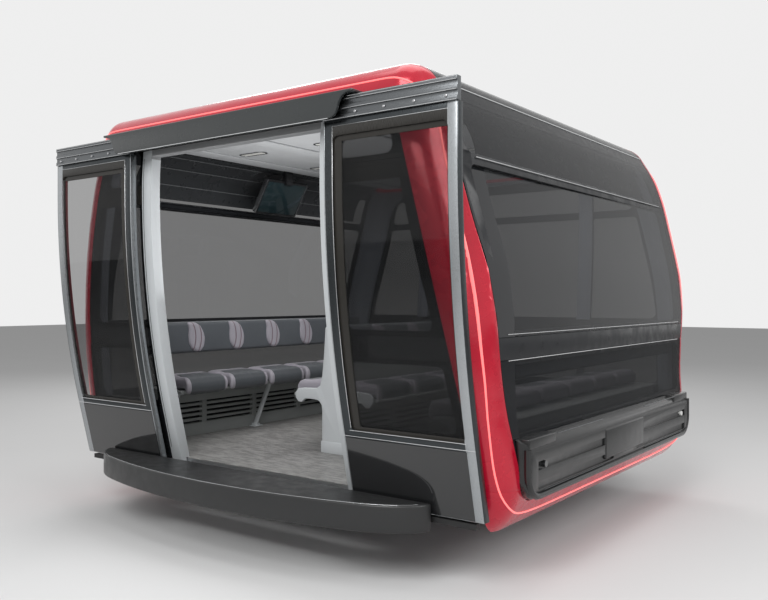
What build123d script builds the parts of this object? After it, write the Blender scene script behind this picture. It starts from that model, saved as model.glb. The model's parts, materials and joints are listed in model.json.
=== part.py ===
"""Cable car cabin with two sliding door leaves, hung from a flange on its roof frame.

X runs along the cabin, Y across it with the doorway on -Y, and Z up. Inside this file heights are
measured from the floor covering; save() moves every piece down so that the origin is on the flange.
"""
import math
import os
from functools import lru_cache

from build123d import *

os.makedirs("parts", exist_ok=True)

# ---- driving dimensions, in mm ------------------------------------------------------------------
# body form
roof_height = 2405  # floor covering to the roof
belly_depth = 134  # floor covering to the underside of the body
half_length = 1815  # at the waist of each end
waist_height = 200
waist_lean = 6.3  # degrees from upright at the waist
end_radius = 11780  # end face above the waist
curl_radius = 370  # below the waist, in to the underside
half_width = 1790  # body side above the tumblehome
tumble_height = 1850  # the side is upright here
tumble_radius = 6500
knee_height = 350  # below it the side is straight
roof_lean = 55  # roof edge in from the body side
edge_radius = 158  # corner pillars and roof edges
wall = 45
glass_thickness = 6
joint_gap = 3  # between panes and panels

# hoops and bands
hoop_side_width = 165  # hoop on the side faces, from the end face
hoop_end_width = 165  # hoop on the end faces, from the side face
hoop_corner_radius = 170
band_top = 20  # top of the end band at the cabin's bottom
band_corner_radius = 170
band_split = 110  # hoops stand on the bands at this height
cover_thickness = 36  # inner pillar covers
cover_side_width = 205
cover_end_width = 215
cover_corner_radius = 300

# window rows: bottom and top of each pane, on ends and sides
row_low = (371, 793)
row_main = (917, 1864)
row_top = (1867, 2300)
frame_rim = 60  # frame seen around each pane's clear opening
opening_radius = 45
side_row_drop = 255  # top row's clear opening below the roof, on the sides
end_row_drop = 165
far_pillar_x = 870
wall_foot = -40  # bottom of the side walls

# roof
roof_panel_setback = 600  # from the end at its waist
crown_height = 42
crown_margin = 150
ceiling_drop = 170  # below the roof
ceiling_thickness = 18
ceiling_setback = 630  # from the end at its waist
ceiling_margin = 290  # from the body side
lamp_length = 240
lamp_width = 70
lamp_drop = 5
lamp_pitch_x = 760
lamp_pitch_y = 820
ceiling_rib_half = 15

# hanger frame
flange_rise = 295  # roof to the flange, the part's origin
flange_size = 420
flange_thickness = 25
bolt_circle = 320
bolt_count = 8
bolt_hole = 22
beam_width = 80
beam_height = 90
beam_spread_x = 560
beam_spread_y = 420
beam_reach_x = 900
beam_reach_y = 1150
foot_size = 150
foot_height = 22

# floor
floor_thickness = 40
covering_thickness = 4
floor_beam_width = 60
floor_beam_height = 82
floor_beam_pitch = 600
floor_beam_pairs = 2  # on each side of the middle one

# doorway and leaves
leaf_offset = 85  # outer face of a leaf, out from the body side
leaf_thickness = 45
leaf_width = 863
leaf_open_gap = 10  # open leaf to the jamb's outer edge
leaf_bottom = -41
leaf_height = 2133
leaf_stile = 58
leaf_bottom_rail = 55
leaf_panel_top = 332
leaf_mid_rail = 40
leaf_top_rail = 85
leaf_panel_thickness = 30
leaf_glass_thickness = 8
leaf_opening_radius = 40
closed_gap = 5  # leaf edge to the middle when closed
rail_proud = 12  # top rail in front of its leaf
top_rail_height = 123
top_rail_depth = 40
top_rail_grooves = 2
groove_depth = 6
groove_height = 26
jamb_inner = 750
jamb_width = 95
jamb_depth = 75
doorway_drop = 323  # below the roof

# header, guides and sill bar
header_gap = 18  # top rail to the back of the fascia
header_thickness = 20
header_height = 144  # from the leaf's top
header_half_top = 1090
header_half_bottom = 925
header_roof_thickness = 14
guide_clearance = 0.3
guide_rise = 30  # above the leaf's top
guide_setback = 58  # short of an open leaf's outer edge
guide_height = 46
guide_depth = 22
low_guide_width = 40
low_guide_height = 30
low_guide_drop = 14  # below the leaf
trolley_width = 60
trolley_inset = 130
sill_half_length = 1432
sill_reach = 225  # middle of its outer face, out from the body side
sill_back = 145  # its straight back, in from the body side
sill_turn_x = 1180  # the rounded ends start here
sill_turn_reach = 86
sill_top = 30
sill_bottom = -120
sill_bracket_width = 60
sill_bracket_pitch = 600
sill_bracket_count = 4

# bumpers and lamps
bumper_margin = 370  # from the body side to the bumper's end
bumper_reach = 53  # in front of the end at its waist
bumper_root = 400  # how far its plan is carried in, to be cut by the body
bumper_top = 372
bumper_shoulder = 345
bumper_bottom = 40
bumper_corner_radius = 60
bumper_groove_depth = 14
bumper_groove_height = 46
bumper_grooves_z = (225, 120)
bumper_centre_half = 210  # plain block in the middle
bumper_end_block = 120
lamp_diameter = 36
head_lamp_inset = 205  # from the bumper's end
head_lamp_z = 225
head_lamp_proud = 6

# benches
seat_pitch = 452
bench_setback = 585  # door-side end of the end benches, from the body side
bench_seats = 6
centre_seats = 5
cushion_depth = 368
cushion_back_gap = 375  # from the end at its waist
cushion_gap = 8
cushion_top = 515
cushion_bottom = 415
cushion_nose_drop = 42
pan_thickness = 22
base_depth = 158
base_back_gap = 225
base_margin = 370  # the far side's foot leans in past it
back_front_gap = 321
back_clearance = 10  # to the corner covers
back_bottom = 670
back_top = 925
grille_margin = 28
grille_height = 300
grille_bottom = 40
grille_depth = 12
louvre_count = 5
louvre_height = 34
centre_pedestal_half = 134
centre_nose_x = 460
centre_back_half = 72
centre_panel_thickness = 28
leg_thickness = 26
leg_top_inset = 58  # from the cushion's front
leg_foot_gap = 32  # from the bench base
leg_foot_length = 170
leg_seats = (0.5, 2.5, 4.5)  # in seats from the bench's start

# monitor
monitor_width = 500
monitor_height = 320
monitor_depth = 48
monitor_setback = 560
monitor_drop = 395  # its middle, below the roof
monitor_tilt = 30
monitor_stem_width = 80
monitor_stem_thickness = 40

# ---- derived values -----------------------------------------------------------------------------
far = 4000  # reach of the cutting prisms
foot_surplus = 40  # the body's corners are rounded this far below its underside, then cut off level
roof_half_width = half_width - roof_lean
roof_panel_half_length = half_length - roof_panel_setback
ceiling_height = roof_height - ceiling_drop
ceiling_half_length = half_length - ceiling_setback
ceiling_half_width = half_width - ceiling_margin
side_row_top = roof_height - side_row_drop
end_row_top = roof_height - end_row_drop
hanger_height = roof_height + flange_rise
floor_under = -covering_thickness - floor_thickness
floor_beams_x = [floor_beam_pitch * index for index in range(-floor_beam_pairs, floor_beam_pairs + 1)]

jamb_outer = jamb_inner + jamb_width
doorway_top = roof_height - doorway_drop
portal_top = roof_height - hoop_side_width
leaf_plane = half_width + leaf_offset
leaf_open_x = jamb_outer + leaf_open_gap
leaf_end_x = leaf_open_x + leaf_width
leaf_top = leaf_bottom + leaf_height
rail_front = leaf_plane + rail_proud
header_plane = rail_front + header_gap + header_thickness
header_bottom = leaf_top
header_top = leaf_top + header_height
header_back = half_width - 30
guide_half_length = leaf_end_x - guide_setback
guide_base = leaf_top + guide_rise
low_top = leaf_bottom - low_guide_drop
sill_front = half_width + sill_reach
sill_inner = half_width - sill_back
sill_turn_front = half_width + sill_turn_reach

bumper_half_width = half_width - bumper_margin
bumper_front = half_length + bumper_reach
head_lamp_y = bumper_half_width - head_lamp_inset

bench_start = bench_setback - half_width
bench_end = bench_start + bench_seats * seat_pitch
centre_start = bench_start + (bench_seats - centre_seats) * seat_pitch
cushion_back_x = half_length - cushion_back_gap
cushion_front_x = cushion_back_x - cushion_depth
base_back_x = half_length - base_back_gap
base_front_x = base_back_x - base_depth
base_end = half_width - base_margin
back_front_x = half_length - back_front_gap
leg_top_x = cushion_front_x + leg_top_inset
leg_foot_x = base_front_x - leg_foot_gap
monitor_x = half_length - monitor_setback
monitor_z = roof_height - monitor_drop


# ---- helpers ------------------------------------------------------------------------------------
def across(face):
    """Extrude a face drawn in X and Z right through the cabin along Y."""
    return extrude(Plane.XZ * face, far, both=True)


def along(face):
    """Extrude a face drawn in Y and Z right through the cabin along X."""
    return extrude(Plane.YZ * face, far, both=True)


def block(x0, x1, y0, y1, z0, z1):
    """A box given by its limits along each axis."""
    return Pos((x0 + x1) / 2, (y0 + y1) / 2, (z0 + z1) / 2) * Box(abs(x1 - x0), abs(y1 - y0), abs(z1 - z0))


def rectangle(u0, u1, v0, v1):
    """A flat rectangle given by its limits."""
    return Pos((u0 + u1) / 2, (v0 + v1) / 2) * Rectangle(u1 - u0, v1 - v0)


def flip(shape):
    """Mirror from the right end to the left end."""
    return mirror(shape, Plane.YZ)


def to_far(shape):
    """Mirror from the door side to the far side."""
    return mirror(shape, Plane.XZ)


def save(name, *shapes):
    """Write one node, moved so that the origin is on the hanger flange."""
    solids = [solid for shape in shapes for solid in shape.solids()]
    node = Compound(children=solids) if len(solids) > 1 else solids[0]
    export_step(Pos(0, 0, -hanger_height) * node, f"parts/{name}.step")


# ---- body form ----------------------------------------------------------------------------------
def arc(centre, radius, start, stop):
    """An arc about a centre between two angles in radians, counted from the first axis."""

    def at(angle):
        return (centre[0] + radius * math.cos(angle), centre[1] + radius * math.sin(angle))

    return ThreePointArc(at(start), at((start + stop) / 2), at(stop))


def both_sides(edges):
    """The edges and their mirror images about the second axis."""
    return edges + [mirror(edge, Plane.YZ).edge() for edge in edges]


def closed_outline(edges, bottom_edge, top_edge):
    """Face inside mirrored flanks, closed by straight lines between their lowest and highest points."""
    low, high = bottom_edge @ 0, top_edge @ 1
    under = Line((-low.X, low.Y), (low.X, low.Y))
    lid = Line((-high.X, high.Y), (high.X, high.Y))
    return make_face(Wire(both_sides(edges) + [under, lid]))


def end_outline(inset, curl=True, drop=0):
    """Outline seen along Y, moved in by an inset; without the curl it goes straight down by a drop."""
    lean = math.radians(waist_lean)
    lean_centre = (
        half_length - end_radius * math.cos(lean),
        waist_height - end_radius * math.sin(lean),
    )
    radius = end_radius - inset
    top_angle = math.asin((roof_height - inset - lean_centre[1]) / radius)
    upper = arc(lean_centre, radius, lean, top_angle)
    if curl:
        curl_centre = (half_length - curl_radius * math.cos(lean), waist_height - curl_radius * math.sin(lean))
        radius = curl_radius - inset
        foot_angle = math.asin((inset - belly_depth - foot_surplus - curl_centre[1]) / radius)
        lower = arc(curl_centre, radius, foot_angle, lean)
    else:
        waist = upper @ 0
        lower = Line((waist.X, -drop), (waist.X, waist.Y))
    return closed_outline([lower, upper], lower, upper)


def flank(plane, inset, bottom):
    """One side's outline in Y and Z up to the tumblehome: a straight foot and a bowed side."""
    sweep = math.asin((tumble_height - knee_height) / tumble_radius)
    side = arc((plane - tumble_radius, tumble_height), tumble_radius - inset, -sweep, 0)
    knee = side @ 0
    foot = Line((knee.X - (knee.Y - bottom) * math.tan(sweep), bottom), (knee.X, knee.Y))
    return [foot, side]


def shoulder_radius():
    """Radius of a side's shoulder, from upright at the tumblehome in to the roof's half width."""
    rise, lean = roof_height - tumble_height, half_width - roof_half_width
    return (rise**2 + lean**2) / (2 * lean)


def side_outline(inset, bottom, top=None):
    """Outline seen along X, moved in by an inset, from a bottom to the roof or straight on up to a top."""
    centre = (half_width - shoulder_radius(), tumble_height)
    radius = shoulder_radius() - inset
    shoulder = arc(centre, radius, 0, math.asin((roof_height - inset - tumble_height) / radius))
    edges = flank(half_width, inset, bottom) + [shoulder]
    if top:
        end = shoulder @ 1
        edges.append(Line((end.X, end.Y), (end.X, top)))
    return closed_outline(edges, edges[0], edges[-1])


@lru_cache(maxsize=None)
def body_form(inset):
    """The whole body as one rounded solid, moved in from its outside by an inset."""
    roof, floor = roof_height - inset, inset - belly_depth
    form = across(end_outline(inset)) & along(side_outline(inset, floor - foot_surplus))
    rounded = []
    for edge in form.edges():
        box = edge.bounding_box()
        on_roof = abs(edge.center().Z - roof) < 1
        upright = box.size.Z > 50 and box.max.Z > floor + 60
        if on_roof or upright:
            rounded.append(edge)
    return fillet(rounded, edge_radius - inset) & block(-far, far, -far, far, floor, far)


def panel(outer, inner, zone):
    """The part of the body's wall in a zone, between two insets."""
    return (body_form(outer) & zone) - body_form(inner)


def side_y(height, inset):
    """Half width of the body at a height, moved in by an inset."""
    if height > tumble_height:
        radius = shoulder_radius()
        return half_width - radius + math.sqrt((radius - inset) ** 2 - (height - tumble_height) ** 2)
    sweep = math.asin((tumble_height - knee_height) / tumble_radius)
    radius = tumble_radius - inset
    centre = half_width - tumble_radius
    knee_z = tumble_height - radius * math.sin(sweep)
    if height > knee_z:
        return centre + math.sqrt(radius**2 - (tumble_height - height) ** 2)
    return centre + radius * math.cos(sweep) - (knee_z - height) * math.tan(sweep)


def curl_x(height, inset):
    """Half length of the body at a height below the waist, moved in by an inset."""
    lean = math.radians(waist_lean)
    centre_z = waist_height - curl_radius * math.sin(lean)
    return half_length - curl_radius * math.cos(lean) + math.sqrt((curl_radius - inset) ** 2 - (height - centre_z) ** 2)


def end_x(height, inset):
    """Half length of the body at a height above the waist, moved in by an inset."""
    lean = math.radians(waist_lean)
    centre_z = waist_height - end_radius * math.sin(lean)
    return half_length - end_radius * math.cos(lean) + math.sqrt((end_radius - inset) ** 2 - (height - centre_z) ** 2)


def rounded_corners(face, height, radius):
    """Round a face's two corners that lie at a height."""
    corners = [v for v in face.vertices() if abs(v.Y - height) < 1]
    return fillet(corners, radius)


def side_gap(inset, radius):
    """The space between the corner pillars and below the roof edge, in X and Z."""
    face = end_outline(inset, curl=False, drop=far / 4)
    return rounded_corners(face, roof_height - inset, radius)


def end_gap(inset, bottom, radius):
    """The space between the corner pillars and above the end band, in Y and Z."""
    return rounded_corners(side_outline(inset, bottom, far), bottom, radius)


# ---- hoops, bands and pillar covers -------------------------------------------------------------
hoop_side = across(side_gap(hoop_side_width, hoop_corner_radius))
hoop_end = along(end_gap(hoop_end_width, band_top, band_corner_radius))
above = block(-far, far, -far, far, band_split, far)
hoop_foot_x = half_length - hoop_side_width * math.cos(math.radians(waist_lean))
band_zone = block(hoop_foot_x, far, -far, far, -far, band_split)
door_half = block(-far, far, -far, -roof_half_width / 2, -far, far)
door_hoop = panel(0, wall, above & door_half) - hoop_side - hoop_end
right_band = panel(0, wall, band_zone) - hoop_end

save("hoop_door_side", door_hoop)
save("hoop_far_side", to_far(door_hoop))
save("end_band_right", right_band)
save("end_band_left", flip(right_band))

cover_zone = door_half & block(-far, far, -far, far, 0, ceiling_height)
cover = panel(wall, wall + cover_thickness, cover_zone)
cover = cover - across(side_gap(cover_side_width, cover_corner_radius))
cover = cover - along(end_gap(cover_end_width, -far / 4, band_corner_radius))
save("pillar_covers", cover, to_far(cover))

# ---- roof and ceiling ---------------------------------------------------------------------------
roof_zone = along(end_gap(hoop_end_width, band_top, band_corner_radius))
roof_span = block(-roof_panel_half_length, roof_panel_half_length, -far, far, ceiling_height, far)
crown_half_width = roof_half_width - hoop_end_width - crown_margin
crown = Pos(0, 0, roof_height) * loft(
    [
        Rectangle(2 * (roof_panel_half_length - crown_margin / 3), 2 * crown_half_width),
        Pos(0, 0, crown_height)
        * Rectangle(2 * (roof_panel_half_length - crown_margin), 2 * (crown_half_width - crown_margin)),
    ]
)
save("roof_shell", panel(0, wall, roof_zone & roof_span) + crown)

ceiling = block(
    -ceiling_half_length,
    ceiling_half_length,
    -ceiling_half_width,
    ceiling_half_width,
    ceiling_height,
    ceiling_height + ceiling_thickness,
)
lamp_shape = SlotOverall(lamp_length, lamp_width)
lamps = [
    Pos(x, y, ceiling_height - lamp_drop) * extrude(lamp_shape, ceiling_thickness + lamp_drop)
    for x in (-lamp_pitch_x, 0, lamp_pitch_x)
    for y in (-lamp_pitch_y, 0, lamp_pitch_y)
]
for lamp in lamps:
    ceiling = ceiling - lamp
rib_end = lamp_pitch_y + lamp_width
for x in (-ceiling_half_length / 2, ceiling_half_length / 2):
    ceiling = ceiling + block(
        x - ceiling_rib_half,
        x + ceiling_rib_half,
        -rib_end,
        rib_end,
        ceiling_height + ceiling_thickness,
        roof_height - wall,
    )
save("ceiling_panel", ceiling)
save("ceiling_lamps", *lamps)

# ---- hanger frame -------------------------------------------------------------------------------
roof_top = roof_height + crown_height
beam_base = roof_top + foot_height
beam_top = beam_base + beam_height
frame_parts = []
for side in (-1, 1):
    y = side * beam_spread_y
    x = side * beam_spread_x
    half = beam_width / 2
    frame_parts.append(block(-beam_reach_x, beam_reach_x, y - half, y + half, beam_base, beam_top))
    frame_parts.append(block(x - half, x + half, -beam_reach_y, beam_reach_y, beam_base, beam_top))
    for other in (-1, 1):
        foot_y = other * (beam_reach_y - foot_size / 2)
        frame_parts.append(Pos(x, foot_y, roof_top + foot_height / 2) * Box(foot_size, foot_size, foot_height))
tower = Pos(0, 0, (beam_base + hanger_height - flange_thickness) / 2) * Box(
    2 * beam_width, 2 * beam_spread_y + beam_width, hanger_height - flange_thickness - beam_base
)
tower_cut = block(-far, far, flange_size / 2, far, beam_top, far)
tower = tower - tower_cut - to_far(tower_cut)
flange = Pos(0, 0, hanger_height - flange_thickness / 2) * Box(flange_size, flange_size, flange_thickness)
flange = fillet(flange.edges().filter_by(Axis.Z), 40)
hanger = flange + tower
for piece in frame_parts:
    hanger = hanger + piece
bolt_holes = PolarLocations(bolt_circle / 2, bolt_count, start_angle=180 / bolt_count)
hanger = hanger - [
    Pos(0, 0, hanger_height - flange_thickness / 2) * place * Cylinder(bolt_hole / 2, 2 * flange_thickness)
    for place in bolt_holes
]
save("hanger_frame", hanger)

# ---- floor --------------------------------------------------------------------------------------
floor_half_length = curl_x(floor_under, wall)
floor_half_width = side_y(floor_under, wall)
floor_plan = RectangleRounded(2 * floor_half_length, 2 * floor_half_width, edge_radius)
floor_frame = Pos(0, 0, floor_under) * extrude(floor_plan, floor_thickness)
floor_cover = Pos(0, 0, -covering_thickness) * extrude(floor_plan, covering_thickness)
beam_half = floor_beam_width / 2
beam_base_z = floor_under - floor_beam_height
sill_beam_y = side_y(beam_base_z, wall) - beam_half
for x in floor_beams_x:
    floor_frame = floor_frame + block(x - beam_half, x + beam_half, -sill_beam_y, sill_beam_y, beam_base_z, floor_under)
for y in (-sill_beam_y, sill_beam_y):
    reach = floor_half_length - edge_radius
    floor_frame = floor_frame + block(-reach, reach, y - beam_half, y + beam_half, beam_base_z, floor_under)
save("underframe", floor_frame)
save("floor_covering", floor_cover)


# ---- ends: frames and panes ---------------------------------------------------------------------
def end_zone(inset):
    """The space for end frames and panes, inside the hoops."""
    bottom_radius = max(band_corner_radius - inset, 20)
    return along(end_gap(hoop_end_width + inset, band_top + inset, bottom_radius))


def window_hole(low, high):
    """Clear opening of one end window, in Y and Z."""
    low, high = low + frame_rim / 2, high - frame_rim / 2
    inset = hoop_end_width + frame_rim
    corners = [(side_y(low, inset), low), (side_y(high, inset), high)]
    corners += [(-y, z) for y, z in reversed(corners)]
    face = make_face(Polyline(*corners, close=True))
    return fillet(face.vertices(), opening_radius)


past_roof_panel = block(roof_panel_half_length, far, -far, far, band_top, far)
end_frame = panel(glass_thickness, wall, end_zone(0) & past_roof_panel)
for low, high in (row_low, row_main, (row_top[0], end_row_top)):
    end_frame = end_frame - along(window_hole(low, high))
belt_zone = block(half_length / 2, far, -far, far, row_low[1] + joint_gap, row_main[0] - joint_gap)
end_frame = end_frame + panel(0, wall, end_zone(0) & belt_zone)
save("end_frame_right", end_frame)
save("end_frame_left", flip(end_frame))

end_panes = []
for low, high in (row_low, row_main, (row_top[0], far)):
    span = block(roof_panel_half_length + joint_gap, far, -far, far, low, high)
    end_panes.append(panel(0, glass_thickness, end_zone(joint_gap) & span))
save("end_panes_right", *end_panes)
save("end_panes_left", *[flip(pane) for pane in end_panes])


# ---- bumpers and head lamps ---------------------------------------------------------------------
def bumper_outline():
    """Section of the bumper in X and Z."""
    back = half_length + 1
    points = [
        (back, bumper_bottom),
        (bumper_front - 20, bumper_bottom + 12),
        (bumper_front, bumper_bottom + 60),
        (bumper_front, bumper_shoulder - 40),
        (bumper_front - 16, bumper_shoulder),
        (back - 60, bumper_top + 20),
        (back - 60, bumper_bottom),
    ]
    return make_face(Polyline(*points, close=True))


bumper = extrude(Plane.XZ * bumper_outline(), bumper_half_width, both=True)
plan = Pos(half_length - bumper_root, 0) * Rectangle(2 * (bumper_reach + bumper_root), 2 * bumper_half_width)
plan = fillet(plan.vertices(), bumper_corner_radius)
bumper = bumper & Pos(0, 0, -far) * extrude(plan, 2 * far)
bumper = bumper - body_form(0)
for z in bumper_grooves_z:
    for side in (-1, 1):
        inner, outer = side * bumper_centre_half, side * (bumper_half_width - bumper_end_block)
        low, high = sorted((inner, outer))
        bumper = bumper - block(
            bumper_front - bumper_groove_depth,
            far,
            low,
            high,
            z - bumper_groove_height / 2,
            z + bumper_groove_height / 2,
        )
lamp_seat = bumper_front - bumper_groove_depth
head_lamp = Plane.YZ * Pos(head_lamp_y, head_lamp_z) * Circle(lamp_diameter / 2)
head_lamp = Pos(lamp_seat, 0, 0) * extrude(head_lamp, bumper_groove_depth + head_lamp_proud)
head_lamp_left = mirror(head_lamp, Plane.XZ)
save("bumper_right", bumper)
save("bumper_left", flip(bumper))
save("head_lamps", head_lamp, head_lamp_left, flip(head_lamp), flip(head_lamp_left))


# ---- sides: walls, frames and panes -------------------------------------------------------------
side_zone_inset = hoop_side_width


def side_zone(inset):
    """The space for side walls and panes, inside the hoop."""
    return across(side_gap(side_zone_inset + inset, max(hoop_corner_radius - inset, 20)))


def side_hole(left, right, low, high):
    """Clear opening of one side window, in X and Z; an end column leans with the hoop."""
    low, high = low + frame_rim / 2, high - frame_rim / 2
    inset = side_zone_inset + frame_rim
    corners = []
    for z in (low, high):
        corners.append((min(right - frame_rim / 2, end_x(z, inset)), z))
    for z in (high, low):
        corners.append((max(left + frame_rim / 2, -end_x(z, inset)), z))
    face = make_face(Polyline(*corners, close=True))
    return fillet(face.vertices(), opening_radius)


def side_frame(x0, x1, columns, side):
    """Wall of one side from x0 to x1 with a window opening in each column and row."""
    y0, y1 = sorted((0, side * far))
    frame = panel(glass_thickness, wall, side_zone(0) & block(x0, x1, y0, y1, wall_foot, far))
    for left, right in columns:
        for low, high in (row_low, row_main, (row_top[0], side_row_top)):
            hole = Plane.XZ * side_hole(left, right, low, high)
            frame = frame - extrude(hole, -side * far)
    return frame


def side_panes(columns, side):
    """Panes of one side, one for each column and row."""
    y0, y1 = (-far, 0) if side < 0 else (0, far)
    panes = []
    for left, right in columns:
        for low, high in (row_low, row_main, (row_top[0], far)):
            box = block(left + joint_gap / 2, right - joint_gap / 2, y0, y1, low, high - joint_gap)
            panes.append(panel(0, glass_thickness, side_zone(joint_gap) & box))
    return panes


door_columns = ((jamb_outer, half_length),)
door_wall = side_frame(jamb_outer, half_length, door_columns, -1)
door_panes = side_panes(door_columns, -1)
save("door_side_wall_right", door_wall)
save("door_side_wall_left", flip(door_wall))
save("door_side_panes", *door_panes, *[flip(pane) for pane in door_panes])

far_columns = ((-half_length, -far_pillar_x), (-far_pillar_x, far_pillar_x), (far_pillar_x, half_length))
far_wall = side_frame(-half_length, half_length, far_columns, 1)
save("far_side_wall", far_wall)
save("far_side_panes", *side_panes(far_columns, 1))

portal_zone = block(-jamb_outer, jamb_outer, -far, 0, wall_foot, portal_top)
portal_zone = portal_zone - block(-jamb_inner, jamb_inner, -far, 0, -far, doorway_top)
portal = panel(0, jamb_depth, portal_zone)
save("door_portal", portal - cover - (body_form(wall) & block(-far, far, -far, far, -far, 0)))

# ---- door header, guides and sill bar -----------------------------------------------------------
hood_base = header_top - header_roof_thickness
hood = block(-header_half_top, header_half_top, -header_plane, -header_back, hood_base, header_top)
fascia_face = Polyline(
    (header_half_bottom, header_bottom),
    (header_half_top, header_top),
    (-header_half_top, header_top),
    (-header_half_bottom, header_bottom),
    close=True,
)
fascia = extrude(Plane.XZ * make_face(fascia_face), header_plane) - block(
    -far, far, -header_plane + header_thickness, 0, -far, far
)
header = (hood - body_form(0)) + fascia
save("door_header", header)

guide_back = half_width
guide_front = guide_back + guide_depth
guide = block(-guide_half_length, guide_half_length, -guide_front, -header_back, guide_base, guide_base + guide_height)
guide = guide - body_form(0)
low_guide_y = side_y(leaf_bottom, leaf_thickness / 2 - leaf_offset)
low_guide = block(
    -guide_half_length,
    guide_half_length,
    -low_guide_y - low_guide_width / 2,
    -low_guide_y + low_guide_width / 2,
    low_top - low_guide_height,
    low_top,
)
save("door_guides", guide, low_guide)

turn_x = (sill_turn_x + 2 * sill_half_length) / 3
turn_y = (2 * sill_turn_front + sill_inner) / 3
sill_points = Wire(
    [
        ThreePointArc((-sill_turn_x, -sill_turn_front), (0, -sill_front), (sill_turn_x, -sill_turn_front)),
        ThreePointArc((sill_turn_x, -sill_turn_front), (turn_x, -turn_y), (sill_half_length, -sill_inner)),
        Line((sill_half_length, -sill_inner), (-sill_half_length, -sill_inner)),
        ThreePointArc((-sill_half_length, -sill_inner), (-turn_x, -turn_y), (-sill_turn_x, -sill_turn_front)),
    ]
)
sill = Pos(0, 0, sill_bottom) * extrude(make_face(sill_points), sill_top - sill_bottom)
bracket_top = low_top - low_guide_height
bracket_root = sill_beam_y + beam_half
for index in range(sill_bracket_count):
    x = sill_bracket_pitch * (index - (sill_bracket_count - 1) / 2)
    half = sill_bracket_width / 2
    sill = sill + block(x - half, x + half, -sill_inner - 5, -bracket_root, sill_bottom, bracket_top)
save("door_sill_bar", sill)


# ---- door leaves --------------------------------------------------------------------------------
def leaf_layer(outer, inner, z0, z1):
    """A layer of the leaf's bowed section, on the door side, between two depths."""

    def solid(depth):
        edges = flank(leaf_plane, depth, -far)
        edges.append(Line((leaf_plane - depth, tumble_height), (leaf_plane - depth, far)))
        return along(closed_outline(edges, edges[0], edges[-1]))

    layer = solid(outer) - solid(inner)
    layer = layer & block(-far, far, leaf_plane / 2, far, z0, z1)
    return to_far(layer)


glass_low, glass_high = leaf_panel_top + leaf_mid_rail, leaf_top - leaf_top_rail
panel_low = leaf_bottom + leaf_bottom_rail
leaf_slab = leaf_layer(0, leaf_thickness, leaf_bottom, leaf_top) & block(leaf_open_x, leaf_end_x, -far, 0, -far, far)
glass_window = rectangle(leaf_open_x + leaf_stile, leaf_end_x - leaf_stile, glass_low, glass_high)
glass_window = fillet(glass_window.vertices(), leaf_opening_radius)
panel_window = rectangle(leaf_open_x + leaf_stile, leaf_end_x - leaf_stile, panel_low, leaf_panel_top)
panel_window = fillet(panel_window.vertices(), leaf_opening_radius / 2)
glass_prism = extrude(Plane.XZ * glass_window, far)
panel_prism = extrude(Plane.XZ * panel_window, far)
leaf_frame = leaf_slab - glass_prism - panel_prism
glass_seat = (leaf_thickness - leaf_glass_thickness) / 3
leaf_glass = leaf_layer(glass_seat, glass_seat + leaf_glass_thickness, leaf_bottom, leaf_top) & glass_prism
panel_seat = (leaf_thickness - leaf_panel_thickness) / 3
leaf_panel = leaf_layer(panel_seat, panel_seat + leaf_panel_thickness, leaf_bottom, leaf_top) & panel_prism

rail_back = rail_front - top_rail_depth
top_rail = block(leaf_open_x, leaf_end_x, -rail_front, -rail_back, leaf_top, leaf_top + top_rail_height)
groove_pitch = top_rail_height / (top_rail_grooves + 0.5)
for count in range(top_rail_grooves):
    z = leaf_top + groove_pitch * (count + 0.75)
    top_rail = top_rail - block(
        leaf_open_x, leaf_end_x, -far, -rail_front + groove_depth, z - groove_height / 2, z + groove_height / 2
    )
trolley_low = guide_base + guide_height + guide_clearance
for x in (leaf_open_x + trolley_inset, leaf_end_x - trolley_inset):
    half = trolley_width / 2
    top_rail = top_rail + block(
        x - half, x + half, -rail_back, -guide_back - guide_depth / 2, trolley_low, leaf_top + top_rail_height
    )
leaf = {"leaf_frame": leaf_frame, "leaf_glass": leaf_glass, "leaf_panel": leaf_panel, "leaf_rail": top_rail}
for name, piece in leaf.items():
    save(f"{name}_right", piece)
    save(f"{name}_left", flip(piece))


# ---- benches ------------------------------------------------------------------------------------
def seat_starts(start, count):
    """Door-side edge of each seat in a row."""
    return [start + index * seat_pitch for index in range(count)]


def cushion(front, back, start):
    """One seat cushion with a drooping nose, facing the middle from the right end."""
    face = make_face(
        Polyline(
            (front, cushion_bottom - cushion_nose_drop),
            (front - 12, cushion_top - 45),
            (front + 35, cushion_top),
            (back, cushion_top),
            (back, cushion_bottom),
            (front + 60, cushion_bottom),
            close=True,
        )
    )
    solid = extrude(Plane.XZ * face, -(seat_pitch - cushion_gap))
    return Pos(0, start + cushion_gap / 2, 0) * solid


def grille(front, start, stop, out):
    """Pocket with louvres left standing, in a bench base's front, cut along one seat."""
    y0, y1 = start + grille_margin, stop - grille_margin
    inner = front + out * grille_depth
    pocket = block(min(front, inner), max(front, inner), y0, y1, grille_bottom, grille_bottom + grille_height)
    pitch = grille_height / louvre_count
    for index in range(louvre_count):
        z = grille_bottom + pitch * (index + 0.5)
        slat = block(min(front, inner), max(front, inner), y0, y1, z - louvre_height / 2, z + louvre_height / 2)
        pocket = pocket - slat
    return pocket


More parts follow.
